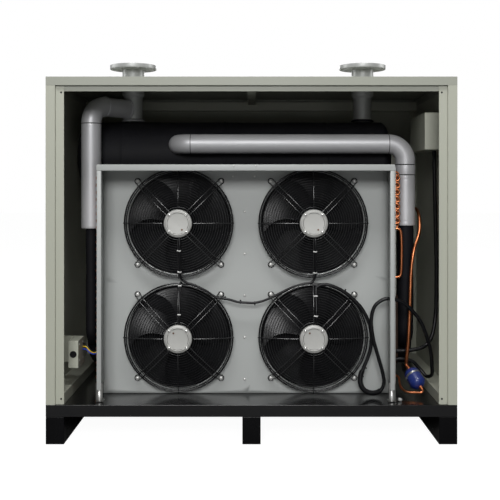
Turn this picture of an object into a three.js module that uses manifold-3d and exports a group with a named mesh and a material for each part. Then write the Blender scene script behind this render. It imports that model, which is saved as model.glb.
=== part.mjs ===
// Refrigerated air dryer with its front cover off: a sheet-metal cabinet on a skid, four condenser
// fans in a shroud, an insulated heat exchanger drum, and the pipework between them.
// Millimetres. X to the right, Y to the back, Z up; the origin is under the middle of the cabinet.
import * as THREE from 'three';
import { mergeVertices } from 'three/addons/utils/BufferGeometryUtils.js';
import Module from 'manifold-3d';

// ---- driving dimensions -------------------------------------------------------------------
const GAP = 0.3;              // clearance between pieces that touch
const SHEET = 2;              // sheet-metal thickness

const cabinet = { width: 1800, depth: 1000, skid: 120, floor: 172, top: 1608, lip: 38 };
const post = { lip: 39, flange: 39, recess: 12 };
const runner = { width: 80, wall: 4, weepHole: 6, weepY: 400 };
const cornerPost = { width: 27, depth: 30, foot: 220.3, head: 1541.4 };
const ledge = { width: 76, top: 220 };

const shroud = { left: -685, right: 634, front: -458, panel: -274, top: 1225, bottom: 227, flange: 24 };
const fan = { middle: -25.5, pitchX: 307.5, centreZ: 699, pitchZ: 261.5, hole: 236, collar: 12 };
const guard = { outer: 247, inner: 66, earEnd: 282, earWidth: 16, wire: 6, strut: 20, foot: -320, nose: -360 };
const motor = { radius: 64, front: -375, back: -350, lug: 9 };
const rotor = { radius: 60, front: -348, back: -266, tip: 228 };
const blade = { count: 5, chord: 1.02, taper: 0.18, sweep: 0.42, pitch: 50, pitchLoss: 12, y: -296, half: 1.5 };

const coil = { left: -696, right: 664, front: -262, back: -187, bottom: 180, top: 1216, plate: 3 };
const header = { y: -196, out: 16, bottom: 300, top: 620, bend: 12, radius: 7 };
const drum = { radius: 175, y: 50, z: 1276, left: -858, right: 690 };
const vessel = { radius: 150, y: 60, z: 400, left: -812, right: 792 };
const flange = { radius: 114.5, thick: 22, top: 1732, boltCircle: 190.5, bolt: 9.5, hub: 54, bore: 40 };
const stub = { radius: 44.5, inletX: -588, outletX: 552, hubEnd: 1580 };
const inlet = { radius: 47, bend: 84, z: 1511, x: -757, y: -180, sleeveEnd: 932, lagging: 27 };
const cross = { radius: 46, y: -170, z: 1330, left: -352, right: 727.5, bendLeft: 70, bendRight: 80 };
const riser = { couplingTop: 1233, couplingBottom: 1182, sleeveEnd: 945, lagging: 40 };
const drier = { at: [748, -312, 250], axis: [-0.35, 0.72, 0.6], neck: 64 };
const leadY = -336;           // plane of the fan leads, in front of the guards

const halfW = cabinet.width / 2;
const halfD = cabinet.depth / 2;
const lidUnder = cabinet.top - cabinet.lip;
const panelTop = lidUnder - GAP;
const inside = halfW - SHEET - GAP;

// ---- finishes -----------------------------------------------------------------------------
const finish = (color, roughness, metalness) => new THREE.MeshStandardMaterial({ color, roughness, metalness });
const finishes = {
  cabinetPaint: finish(0xacaea0, 0.5, 0.1),
  shroudPaint: finish(0xa5a8a7, 0.45, 0.1),
  skidPaint: finish(0x131314, 0.5, 0.1),
  wire: finish(0x1a1a1c, 0.4, 0.3),
  blade: finish(0x141416, 0.5, 0.1),
  castCover: finish(0xc3c3be, 0.45, 0.7),
  fins: finish(0x8c9094, 0.5, 0.8),
  lagging: finish(0x17171a, 0.9, 0),
  foil: finish(0xafafb2, 0.35, 0.6),
  copper: finish(0xbe643c, 0.3, 1),
  drier: finish(0x23328c, 0.4, 0.1),
  zinc: finish(0xb4b6b4, 0.4, 0.9),
  cable: finish(0x0e0e10, 0.5, 0),
  brass: finish(0xb0893e, 0.35, 1),
  lever: finish(0xb02a20, 0.4, 0),
};

// ---- solids: joining and cutting ----------------------------------------------------------
const wasm = await Module();
wasm.setup();

function toSolid(geometry) {
  const plain = geometry.clone();
  plain.deleteAttribute('normal');
  plain.deleteAttribute('uv');
  const merged = mergeVertices(plain, 1e-4);
  return new wasm.Manifold(new wasm.Mesh({
    numProp: 3,
    vertProperties: new Float32Array(merged.attributes.position.array),
    triVerts: new Uint32Array(merged.index.array),
  }));
}

function toGeometry(solid) {
  const mesh = solid.getMesh();
  const geometry = new THREE.BufferGeometry();
  geometry.setAttribute('position', new THREE.BufferAttribute(new Float32Array(mesh.vertProperties), 3));
  geometry.setIndex(new THREE.BufferAttribute(new Uint32Array(mesh.triVerts), 1));
  return geometry;
}

function join(...pieces) {
  return toGeometry(pieces.map(toSolid).reduce((sum, piece) => sum.add(piece)));
}

function cut(piece, ...tools) {
  return toGeometry(tools.map(toSolid).reduce((rest, tool) => rest.subtract(tool), toSolid(piece)));
}

// ---- basic shapes -------------------------------------------------------------------------
function block(x0, x1, y0, y1, z0, z1) {
  const box = new THREE.BoxGeometry(x1 - x0, y1 - y0, z1 - z0);
  return box.translate((x0 + x1) / 2, (y0 + y1) / 2, (z0 + z1) / 2);
}

// A profile of [radius, height] points turned about +Y.
function turned(profile, sides = 24) {
  return new THREE.LatheGeometry(profile.map(([r, h]) => new THREE.Vector2(r, h)), sides);
}

function rod(radius, from, to, sides = 24) {
  return turned([[0, from], [radius, from], [radius, to], [0, to]], sides);
}

function ring(outer, inner, from, to, sides = 24) {
  return turned([[inner, from], [outer, from], [outer, to], [inner, to], [inner, from]], sides);
}

const upright = (geometry) => geometry.rotateX(Math.PI / 2);
const lengthwise = (geometry) => geometry.rotateZ(-Math.PI / 2);

// A vessel with dished ends between two stations of its axis.
function dishedTank(radius, from, to, sides = 28) {
  const dish = radius * 0.3;
  const points = [[0, from]];
  for (const angle of [30, 60, 90]) {
    const a = THREE.MathUtils.degToRad(angle);
    points.push([radius * Math.sin(a), from + dish * (1 - Math.cos(a))]);
  }
  for (const angle of [90, 60, 30]) {
    const a = THREE.MathUtils.degToRad(angle);
    points.push([radius * Math.sin(a), to - dish * (1 - Math.cos(a))]);
  }
  points.push([0, to]);
  return turned(points, sides);
}

// The centre line of a pipe: straight runs between corners, each corner rounded by one bend.
class PipeRun extends THREE.Curve {
  constructor(corners, bend, stepsPerBend = 6) {
    super();
    this.stations = [];
    const add = (point, tangent) => this.stations.push({ point, tangent });
    const at = corners.map((c) => new THREE.Vector3(...c));
    const heading = (i) => at[i + 1].clone().sub(at[i]).normalize();
    add(at[0], heading(0));
    for (let i = 1; i < at.length - 1; i += 1) {
      const before = heading(i - 1);
      const after = heading(i);
      const turn = before.angleTo(after);
      const setback = bend * Math.tan(turn / 2);
      const start = at[i].clone().addScaledVector(before, -setback);
      const side = after.clone().addScaledVector(before, -before.dot(after)).normalize();
      for (let k = 0; k <= stepsPerBend; k += 1) {
        const a = (turn * k) / stepsPerBend;
        const point = start.clone().addScaledVector(before, bend * Math.sin(a));
        point.addScaledVector(side, bend * (1 - Math.cos(a)));
        const tangent = before.clone().multiplyScalar(Math.cos(a)).addScaledVector(side, Math.sin(a));
        add(point, tangent.normalize());
      }
    }
    add(at[at.length - 1], heading(at.length - 2));
  }

  station(u) {
    return this.stations[Math.round(u * (this.stations.length - 1))];
  }

  getPointAt(u, target = new THREE.Vector3()) {
    return target.copy(this.station(u).point);
  }

  getTangentAt(u, target = new THREE.Vector3()) {
    return target.copy(this.station(u).tangent);
  }
}

function discShape(radius, sides) {
  const shape = new THREE.Shape();
  for (let i = 0; i < sides; i += 1) {
    const a = (2 * Math.PI * i) / sides;
    const put = i === 0 ? 'moveTo' : 'lineTo';
    shape[put](radius * Math.cos(a), radius * Math.sin(a));
  }
  shape.closePath();
  return shape;
}

function bentPipe(corners, bend, radius, sides = 16, stepsPerBend = 5) {
  const run = new PipeRun(corners, bend, stepsPerBend);
  const steps = run.stations.length - 1;
  return new THREE.ExtrudeGeometry(discShape(radius, sides), { steps, bevelEnabled: false, extrudePath: run });
}

// A cable or small line on a smooth curve through the points.
function routed(points, radius, steps) {
  const curve = new THREE.CatmullRomCurve3(points.map((p) => new THREE.Vector3(...p)), false, 'centripetal');
  return new THREE.ExtrudeGeometry(discShape(radius, 8), { steps, bevelEnabled: false, extrudePath: curve });
}

// ---- the assembly -------------------------------------------------------------------------
const group = new THREE.Group();

function add(name, geometry, material) {
  const mesh = new THREE.Mesh(geometry, material);
  mesh.name = name;
  group.add(mesh);
  return mesh;
}

// Skid: three capped box-section runners, each with a weep hole, and fork slots between them.
function addSkid() {
  const places = { left: -halfW + runner.width / 2, middle: 0, right: halfW - runner.width / 2 };
  const wall = runner.wall;
  for (const [side, x] of Object.entries(places)) {
    const half = runner.width / 2;
    const outer = block(x - half, x + half, -halfD, halfD, 0, cabinet.skid - GAP);
    const hollow = block(
      x - half + wall, x + half - wall,
      -halfD + wall, halfD - wall,
      wall, cabinet.skid - GAP - wall,
    );
    const weep = upright(rod(runner.weepHole, -wall - 1, wall + 1, 10)).translate(x, runner.weepY, 0);
    add(`skid_runner_${side}`, cut(outer, hollow, weep), finishes.skidPaint);
  }
  const tray = cut(
    block(-halfW, halfW, -halfD, halfD, cabinet.skid, cabinet.floor),
    block(-halfW + 3, halfW - 3, -halfD + 3, halfD - 3, cabinet.skid - 1, cabinet.floor - 3),
  );
  add('base_tray', tray, finishes.skidPaint);
}

// Front post: outer lip, step back, and the recessed flange that the front cover closes on.
function postSolid(side) {
  const low = cabinet.floor + GAP;
  const front = -halfD;
  const mid = halfW - post.lip;
  const inner = mid - post.flange;
  const lip = block(mid, halfW, front, front + SHEET, low, panelTop);
  const step = block(mid - SHEET, mid, front, front + post.recess + SHEET, low, panelTop);
  const flangePlate = block(inner, mid, front + post.recess, front + post.recess + SHEET, low, panelTop);
  const solid = join(lip, step, flangePlate);
  return side === 'right' ? solid : mirrored(solid);
}

function mirrored(geometry) {
  const flipped = toSolid(geometry).mirror([1, 0, 0]);
  return toGeometry(flipped);
}

function addCabinet() {
  const low = cabinet.floor + GAP;
  const skinFront = -halfD + SHEET + GAP;
  add('side_panel_left', block(-halfW, -halfW + SHEET, skinFront, halfD, low, panelTop), finishes.cabinetPaint);
  add('side_panel_right', block(halfW - SHEET, halfW, skinFront, halfD, low, panelTop), finishes.cabinetPaint);
  const corners = [-1, 1].flatMap((sign) => {
    const side = sign * inside;
    const inner = sign * (inside - cornerPost.width);
    const face = halfD - cornerPost.depth;
    const [x0, x1] = [Math.min(side, inner), Math.max(side, inner)];
    const [w0, w1] = [Math.min(inner, inner + sign * SHEET), Math.max(inner, inner + sign * SHEET)];
    return [
      block(x0, x1, face, face + SHEET, cornerPost.foot, cornerPost.head),
      block(w0, w1, face, halfD - 1, cornerPost.foot, cornerPost.head),
    ];
  });
  const skin = block(-inside, inside, halfD - SHEET, halfD, low, panelTop);
  add('back_panel', join(skin, ...corners), finishes.cabinetPaint);
  add('front_post_left', postSolid('left'), finishes.cabinetPaint);
  add('front_post_right', postSolid('right'), finishes.cabinetPaint);

  const hubHole = (x) => upright(rod(flange.hub + 2, -20, 20, 24)).translate(x, drum.y, cabinet.top);
  const lid = cut(
    block(-halfW, halfW, -halfD, halfD, lidUnder, cabinet.top),
    block(-halfW + SHEET, halfW - SHEET, -halfD + SHEET, halfD - SHEET, lidUnder - 1, cabinet.top - SHEET),
    hubHole(stub.inletX),
    hubHole(stub.outletX),
  );
  add('lid', lid, finishes.cabinetPaint);

  const roof = cabinet.top - SHEET - GAP;
  const railFront = -halfD + post.recess + SHEET + GAP;
  const railInner = halfW - SHEET * 2 - GAP;
  add('top_rail', join(
    block(-railInner, railInner, railFront, railFront + SHEET, lidUnder - 25, roof),
    block(-railInner, railInner, railFront, railFront + 40, roof - SHEET, roof),
  ), finishes.cabinetPaint);
  const barFront = railFront + 40 + GAP;
  add('roof_frame', join(
    block(-20, 20, barFront, halfD - 55, roof - 34, roof),
    block(-railInner, railInner, halfD - 56, halfD - SHEET - GAP - 2, roof - 64, roof - 18),
    block(-20, 20, halfD - 56, halfD - 20, roof - 34, roof),
  ), finishes.cabinetPaint);

  for (const [side, sign] of [['left', -1], ['right', 1]]) {
    const a = sign * inside;
    const b = sign * (inside - ledge.width);
    const strip = block(Math.min(a, b), Math.max(a, b), railFront, halfD - SHEET - GAP, low, ledge.top);
    add(`floor_ledge_${side}`, strip, finishes.cabinetPaint);
  }
}

const fanCentres = [
  ['top_left', -1, 1],
  ['top_right', 1, 1],
  ['bottom_left', -1, -1],
  ['bottom_right', 1, -1],
].map(([name, sx, sz]) => ({ name, x: fan.middle + sx * fan.pitchX, z: fan.centreZ + sz * fan.pitchZ }));

// Shroud: a folded duct round a fan panel with four collared holes.
function addShroud() {
  const s = shroud;
  const low = cabinet.floor + GAP;
  const body = join(
    block(s.left, s.right, s.front, s.panel + SHEET, s.top - SHEET, s.top),
    block(s.left, s.left + SHEET, s.front, s.panel + SHEET, s.bottom, s.top),
    block(s.right - SHEET, s.right, s.front, s.panel + SHEET, s.bottom, s.top),
    block(s.left, s.right, s.front, s.front + SHEET, s.top - s.flange - 3, s.top),
    block(s.left, s.left + s.flange, s.front, s.front + SHEET, s.bottom, s.top),
    block(s.right - s.flange, s.right, s.front, s.front + SHEET, s.bottom, s.top),
    block(s.left, s.right, s.panel, s.panel + SHEET, low, s.top),
    ...fanCentres.map((c) => ring(fan.hole + 4, fan.hole - 2, -fan.collar, 1, 24).translate(c.x, s.panel, c.z)),
  );
  const holes = fanCentres.map((c) => rod(fan.hole, -20, 20, 24).translate(c.x, s.panel, c.z));
  const cableSlot = block(s.right - 10, s.right + 10, leadY - 44, leadY - 6, 590, 640);
  const feet = [[s.left, -16, 34], [s.right, -34, 16]].flatMap(([x, toLeft, toRight]) => [
    block(x + toLeft, x + toRight, s.front + 4, s.front + 70, low, low + 3),
    block(x + toLeft + 12, x + toRight - 12, s.front + 30, s.front + 33, low, s.bottom + 18),
  ]);
  add('fan_shroud', join(cut(body, ...holes, cableSlot), ...feet), finishes.shroudPaint);
}

// Guard: a wire rim on four struts that rise to the motor, with ears that reach back to the panel.
function guardSolid() {
  const w = guard.wire / 2;
  const rise = guard.nose - guard.foot;
  const length = guard.outer - guard.inner;
  const rim = ring(guard.outer + w, guard.outer - w, guard.foot - w, guard.foot + w, 24);
  const struts = [];
  for (let i = 0; i < 4; i += 1) {
    const slope = Math.atan2(rise, -length);
    const bar = new THREE.BoxGeometry(Math.hypot(length, rise), guard.wire, guard.strut);
    bar.rotateZ(slope + Math.PI);
    bar.translate((guard.outer + guard.inner) / 2, (guard.foot + guard.nose) / 2, 0);
    const half = guard.earWidth / 2;
    const ear = join(
      block(guard.outer - guard.wire, guard.earEnd, guard.foot - w, guard.foot + w, -half, half),
      block(guard.earEnd - guard.wire, guard.earEnd, guard.foot - w, shroud.panel - GAP, -half, half),
      block(guard.outer, guard.earEnd, shroud.panel - GAP - SHEET, shroud.panel - GAP, -half, half),
    );
    const turn = Math.PI / 4 + (i * Math.PI) / 2;
    struts.push(bar.rotateY(turn), ear.rotateY(turn));
  }
  return join(rim, ...struts);
}

// One swept blade: a grid over radius and angle, pitched through the rotor and 3 mm thick.
function bladeSolid(turn) {
  const across = 3;
  const along = 2;
  const rootRadius = rotor.radius - 4;
  const point = (i, j, side) => {
    const u = i / across;
    const v = j / along;
    const r = rootRadius + (rotor.tip - rootRadius) * u;
    const chord = blade.chord * (1 - blade.taper * u);
    const a = turn + blade.sweep * u * u + chord * (v - 0.5);
    const y = blade.y + (0.5 - v) * (blade.pitch - blade.pitchLoss * u) + side * blade.half;
    return [r * Math.cos(a), y, r * Math.sin(a)];
  };
  const positions = [];
  const index = [];
  const key = (i, j, side) => (side > 0 ? 1 : 0) * (across + 1) * (along + 1) + i * (along + 1) + j;
  for (const side of [-1, 1]) {
    for (let i = 0; i <= across; i += 1) {
      for (let j = 0; j <= along; j += 1) positions.push(...point(i, j, side));
    }
  }
  const quad = (a, b, c, d) => index.push(a, b, c, a, c, d);
  for (let i = 0; i < across; i += 1) {
    for (let j = 0; j < along; j += 1) {
      quad(key(i, j, -1), key(i + 1, j, -1), key(i + 1, j + 1, -1), key(i, j + 1, -1));
      quad(key(i, j, 1), key(i, j + 1, 1), key(i + 1, j + 1, 1), key(i + 1, j, 1));
    }
    quad(key(i, 0, 1), key(i + 1, 0, 1), key(i + 1, 0, -1), key(i, 0, -1));
    quad(key(i, along, -1), key(i + 1, along, -1), key(i + 1, along, 1), key(i, along, 1));
  }
  for (let j = 0; j < along; j += 1) {
    quad(key(0, j, -1), key(0, j + 1, -1), key(0, j + 1, 1), key(0, j, 1));
    quad(key(across, j, 1), key(across, j + 1, 1), key(across, j + 1, -1), key(across, j, -1));
  }
  const geometry = new THREE.BufferGeometry();
  geometry.setAttribute('position', new THREE.Float32BufferAttribute(positions, 3));
  geometry.setIndex(index);
  return geometry;
}

function rotorSolid() {
  const can = turned([
    [0, rotor.front], [rotor.radius - 6, rotor.front], [rotor.radius, rotor.front + 6],
    [rotor.radius, rotor.back - 8], [rotor.radius - 10, rotor.back], [0, rotor.back],
  ], 15);
  const blades = [];
  for (let i = 0; i < blade.count; i += 1) blades.push(bladeSolid((2 * Math.PI * i) / blade.count));
  return join(can, ...blades);
}

// Motor end cover: a turned cap with four bolt lugs on the strut diagonals.
function motorSolid() {
  const m = motor;
  const cap = turned([
    [0, m.front], [m.radius - 8, m.front], [m.radius, m.front + 7], [m.radius, m.back], [0, m.back],
  ], 16);
  const reach = m.radius - m.lug;
  const lugs = [];
  for (let i = 0; i < 4; i += 1) {
    const a = Math.PI / 4 + (i * Math.PI) / 2;
    const lug = rod(m.lug, m.front - 5, m.back, 6);
    lugs.push(lug.translate(reach * Math.cos(a), 0, reach * Math.sin(a)));
  }
  return join(cap, ...lugs);
}

function addFans() {
  for (const c of fanCentres) {
    const place = (mesh) => mesh.position.set(c.x, 0, c.z);
    place(add(`fan_guard_${c.name}`, guardSolid(), finishes.wire));
    place(add(`fan_motor_${c.name}`, motorSolid(), finishes.castCover));
    place(add(`fan_rotor_${c.name}`, rotorSolid(), finishes.blade));
  }
}

// Condenser: a finned block between two end plates, with one header down its right side.
function addCondenser() {
  const k = coil;
  add('condenser_coil', block(k.left, k.right, k.front, k.back, k.bottom, k.top), finishes.fins);
  const plateLow = cabinet.floor + GAP;
  const plateAt = (x) => block(x, x + k.plate, k.front - 5, k.back + 8, plateLow, k.top + 4);
  add('condenser_end_plate_left', plateAt(k.left - GAP - k.plate), finishes.zinc);
  add('condenser_end_plate_right', plateAt(k.right + GAP), finishes.zinc);
  const x = k.right + GAP * 2 + k.plate;
  const h = header;
  add('condenser_header', bentPipe([
    [x, h.y, h.top], [x + h.out, h.y, h.top], [x + h.out, h.y, h.bottom], [x, h.y, h.bottom],
  ], h.bend, h.radius, 10, 4), finishes.copper);
}

// Flanged neck: a weld-neck flange on the lid with a pipe stub that runs down to the drum.
function neckSolid(x) {
  const drilled = [];
  for (let i = 0; i < 8; i += 1) {
    const a = ((i + 0.5) * Math.PI) / 4;
    const r = flange.boltCircle / 2;
    drilled.push(rod(flange.bolt, -60, 20, 8).translate(r * Math.cos(a), flange.top, r * Math.sin(a)));
  }
  const top = flange.top;
  const body = turned([
    [flange.bore, drum.z], [stub.radius, drum.z], [stub.radius, stub.hubEnd - 12], [flange.hub, stub.hubEnd],
    [flange.hub, top - flange.thick], [flange.radius, top - flange.thick], [flange.radius, top],
    [flange.bore, top], [flange.bore, drum.z],
  ], 24);
  const drilledBody = upright(cut(body, ...drilled)).translate(x, drum.y, 0);
  return cut(drilledBody, drumEnvelope());
}

const drumEnvelope = () => {
  const outer = lengthwise(dishedTank(drum.radius + GAP, drum.left - GAP, drum.right + GAP, 24));
  return outer.translate(0, drum.y, drum.z);
};

function addVessels() {
  const shell = lengthwise(dishedTank(drum.radius, drum.left, drum.right, 24)).translate(0, drum.y, drum.z);
  add('heat_exchanger', shell, finishes.lagging);
  const lower = lengthwise(dishedTank(vessel.radius, vessel.left, vessel.right, 20));
  add('evaporator', lower.translate(0, vessel.y, vessel.z), finishes.lagging);

  const lowerRoom = lengthwise(rod(vessel.radius + GAP, -halfW, halfW, 20)).translate(0, vessel.y, vessel.z);
  for (const [side, x] of [['left', -540], ['right', 500]]) {
    const legs = join(
      block(x - 20, x + 20, vessel.y - 160, vessel.y - 154, cabinet.floor + GAP, drum.z),
      block(x - 20, x + 20, vessel.y + 154, vessel.y + 160, cabinet.floor + GAP, drum.z),
      block(x - 20, x + 20, vessel.y - 160, vessel.y + 160, vessel.z - 170, vessel.z - 60),
      block(x - 20, x + 20, vessel.y - 160, vessel.y + 160, drum.z - 185, drum.z - 140),
    );
    add(`vessel_stand_${side}`, cut(legs, drumEnvelope(), lowerRoom), finishes.skidPaint);
  }
}

function addPipework() {
  add('inlet_neck', neckSolid(stub.inletX), finishes.foil);
  add('outlet_neck', neckSolid(stub.outletX), finishes.foil);

  // Inlet side: a branch runs forward from the inlet neck, then an elbow drops to the lower vessel.
  const toward = new THREE.Vector3(inlet.x - stub.inletX, inlet.y - drum.y, 0);
  const reach = toward.length();
  toward.normalize();
  const along = (distance) => [stub.inletX + toward.x * distance, drum.y + toward.y * distance, inlet.z];
  const neckRoom = upright(rod(stub.radius + GAP, 0, cabinet.top, 24)).translate(stub.inletX, drum.y, 0);
  const branch = bentPipe([along(10), along(reach - inlet.bend - GAP)], inlet.bend, inlet.radius - 1);
  add('inlet_branch', cut(branch, neckRoom), finishes.foil);
  add('inlet_elbow', bentPipe([
    along(reach - inlet.bend), along(reach), [inlet.x, inlet.y, inlet.z - inlet.bend - 1],
  ], inlet.bend, inlet.radius, 16, 6), finishes.foil);
  add('inlet_drop_pipe', upright(rod(
    inlet.radius, inlet.sleeveEnd, inlet.z - inlet.bend - 1 - GAP, 16,
  )).translate(inlet.x, inlet.y, 0), finishes.foil);
  const vesselRoom = () => {
    const room = lengthwise(dishedTank(vessel.radius + GAP, vessel.left - GAP, vessel.right + GAP, 20));
    return room.translate(0, vessel.y, vessel.z);
  };
  const dropEnd = bentPipe([
    [inlet.x, inlet.y, inlet.sleeveEnd - GAP], [inlet.x, inlet.y, vessel.z], [inlet.x, vessel.y - 60, vessel.z],
  ], 60, inlet.lagging, 16);
  add('inlet_lagged_pipe', cut(dropEnd, vesselRoom()), finishes.lagging);

  // Cold-air side: from the drum forward, across the front, and down to the lower vessel.
  const seam = cross.right - cross.bendRight;
  const crossing = bentPipe([
    [cross.left, -60, cross.z], [cross.left, cross.y, cross.z], [seam - GAP, cross.y, cross.z],
  ], cross.bendLeft, cross.radius);
  add('cross_pipe', cut(crossing, drumEnvelope()), finishes.foil);
  add('cross_elbow', bentPipe([
    [seam, cross.y, cross.z], [cross.right, cross.y, cross.z], [cross.right, cross.y, riser.couplingTop + GAP],
  ], cross.bendRight, cross.radius, 16, 6), finishes.foil);
  const riserAt = (geometry) => upright(geometry).translate(cross.right, cross.y, 0);
  const r = cross.radius;
  add('pipe_coupling', riserAt(turned([
    [0, riser.couplingBottom], [r - 3, riser.couplingBottom], [r - 3, riser.couplingBottom + 5],
    [r, riser.couplingBottom + 5], [r, riser.couplingTop - 5], [r - 3, riser.couplingTop - 5],
    [r - 3, riser.couplingTop], [0, riser.couplingTop],
  ], 16)), finishes.foil);
  add('riser_pipe', riserAt(rod(r, riser.sleeveEnd, riser.couplingBottom - GAP, 16)), finishes.foil);
  const riserEnd = bentPipe([
    [cross.right, cross.y, riser.sleeveEnd - GAP], [cross.right, cross.y, vessel.z],
    [cross.right, vessel.y - 60, vessel.z],
  ], 70, riser.lagging, 16);
  add('riser_lagged_pipe', cut(riserEnd, vesselRoom()), finishes.lagging);
}

// Refrigerant side: compressor and receiver at the back, filter drier at the front right.
function addRefrigeration() {
  const low = cabinet.floor + GAP;
  const compressor = upright(turned([
    [0, low], [112, low], [112, low + 12], [92, low + 12], [104, low + 60], [104, low + 350],
    [80, low + 395], [0, low + 405],
  ], 16)).translate(240, 350, 0);
  add('compressor', compressor, finishes.skidPaint);
  const receiver = upright(turned([
    [0, low], [70, low], [70, low + 8], [50, low + 8], [62, low + 40], [62, low + 360],
    [36, low + 392], [0, low + 400],
  ], 14)).translate(600, 350, 0);
  add('liquid_receiver', receiver, finishes.skidPaint);

  const shell = turned([
    [0, -drier.neck], [9, -drier.neck], [9, -50], [22, -46], [36, -34],
    [36, 34], [22, 46], [9, 50], [9, drier.neck], [0, drier.neck],
  ], 14);
  const centre = new THREE.Vector3(...drier.at);
  const axis = new THREE.Vector3(...drier.axis).normalize();
  const tilt = new THREE.Quaternion().setFromUnitVectors(new THREE.Vector3(0, 1, 0), axis);
  add('filter_drier', shell.applyQuaternion(tilt).translate(centre.x, centre.y, centre.z), finishes.drier);

  const drierEnd = (distance) => centre.clone().addScaledVector(axis, distance).toArray();
  add('liquid_line', routed([
    [600, 350, 574], [600, 345, 700], [650, 230, 860], [735, 40, 985], [786, -80, 1025], [795, -150, 1000],
    [789, -205, 920], [757, -243, 835], [742, -254, 742], [733, -264, 562], [726, -268, 420], [720, -261, 342],
    drierEnd(drier.neck + 18), drierEnd(drier.neck + 1.4),
  ], 8, 26), finishes.copper);
  add('discharge_line', routed([
    [669, -236, 932], [678, -237, 932], [692, -238, 926], [697, -238, 905],
    [697, -238, 735], [692, -238, 712], [678, -237, 706], [669, -236, 706],
  ], 7, 16), finishes.copper);
  add('expansion_line', routed([
    drierEnd(-drier.neck - 1.4), drierEnd(-drier.neck - 10), [768, -372, 199], [745, -364, 196],
    [705, -348, 196], [686, -322, 206], [682, -286, 225], [684, -255, 241], [677, -236, 246],
    [669, -236, 246],
  ], 5, 18), finishes.copper);
}

// Drain ball valve under the lower vessel, with its quarter-turn lever.
function addDrain() {
  const x = -300;
  const y = vessel.y;
  const valve = upright(turned([
    [0, 184], [11, 184], [11, 196], [18, 200], [18, 226], [11, 230], [11, 249], [0, 249],
  ], 12)).translate(x, y, 0);
  const bonnet = rod(8, -34, -10, 10).translate(x, y, 213);
  add('drain_valve', join(valve, bonnet), finishes.brass);
  const stem = y - 34 - GAP;
  add('drain_lever', join(
    block(x - 8, x + 8, stem - 4, stem, 205, 221),
    block(x - 8, x + 32, stem - 4, stem, 208, 218),
  ), finishes.lever);
}

// A motor's lead leaves the cover's edge (up or down), rises over the guard and follows it to the rim.
function motorLead(x, z, way, aside) {
  const path = [
    [0, -360, 64.8], [0, -361, 69], [1, -368, 80], [2, -372, 95], [2, -371, 112], [2, -367, 137],
    [2, -361, 161], [2, -354, 186], [2, -346, 211], [3, -340, 233],
  ];
  return path.map(([shift, y, out]) => [x + aside + shift, y, z + way * out]);
}

// Electrical boxes, and the cables that the machine holds from end to end.
function addElectrics() {
  const wall = inside;
  add('control_box', block(796, wall - 1, -300, 85, 1298, 1468), finishes.cabinetPaint);
  const gland = rod(14, -20, 20, 16).translate(-809, -350, 366);
  add('junction_box', cut(join(
    block(-831, -786, -350, -200, 304, 427),
    block(-wall, -830, -203, -200, 304, 427),
  ), gland), finishes.cabinetPaint);

  const y = leadY;
  const lead = motorLead;
  add('fan_cable_upper', routed([
    ...lead(-333, 960.5, -1, 6), [-320, y, 708], [-300, y, 693], [-255, y, 676], [-205, y, 652],
    [-165, y, 626], [-103, y, 614], [-66, y, 603], [-27, y, 599], [10, y, 598], [46, y, 605],
    [83, y, 619], [112, y, 633], [157, y, 656], [196, y, 673], [240, y, 685], [270, y, 690],
    [284, y, 703], ...lead(282, 960.5, -1, 6).reverse(),
  ], 5.7, 76), finishes.cable);
  add('fan_cable_bottom_left', routed([
    ...lead(-333, 437.5, 1, 6), [-323, y, 686], [-318, y, 694],
  ], 4.6, 22), finishes.cable);
  add('fan_cable_lower', routed([
    ...lead(282, 437.5, 1, 9), [297, y - 5, 669], [312, y - 2, 679], [338, y, 682], [368, y, 675],
    [408, y, 657], [444, y, 632], [476, y, 602], [501, y, 573], [536, y, 504], [546, y, 435],
    [538, y, 375], [511, y - 4, 306], [496, y - 8, 268], [496, y - 12, 229], [516, y - 16, 201],
    [553, y - 18, 192], [586, y - 18, 205], [600, y - 18, 237], [596, y - 18, 276], [574, y - 20, 356],
    [552, y - 22, 435], [542, y - 24, 524], [558, y - 25, 586], [596, y - 25, 616], [635, y - 25, 620],
    [685, y - 20, 602], [730, y - 10, 564], [769, y, 515], [799, y + 10, 445], [820, y + 22, 376],
    [829, y + 36, 306], [832, -275, 258], [814, -242, 246], [790, -227, 272], [752, -224, 310],
    [710, -224, 322], [676, -224, 322], [669, -224, 322],
  ], 8.6, 84), finishes.cable);
  add('supply_cable', routed([
    [869, -150, 1297.4], [870, -152, 1200], [873, -156, 1000], [876, -162, 820], [875, -170, 657],
    [870, -180, 529], [848, -200, 425], [822, -212, 388], [790, -222, 372], [745, -226, 364],
    [705, -226, 360], [676, -226, 360], [669, -226, 360],
  ], 9.2, 26), finishes.cable);
}

addSkid();
addCabinet();
addShroud();
addFans();
addCondenser();
addVessels();
addPipework();
addRefrigeration();
addDrain();
addElectrics();

export default group;
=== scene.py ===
import math

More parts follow.
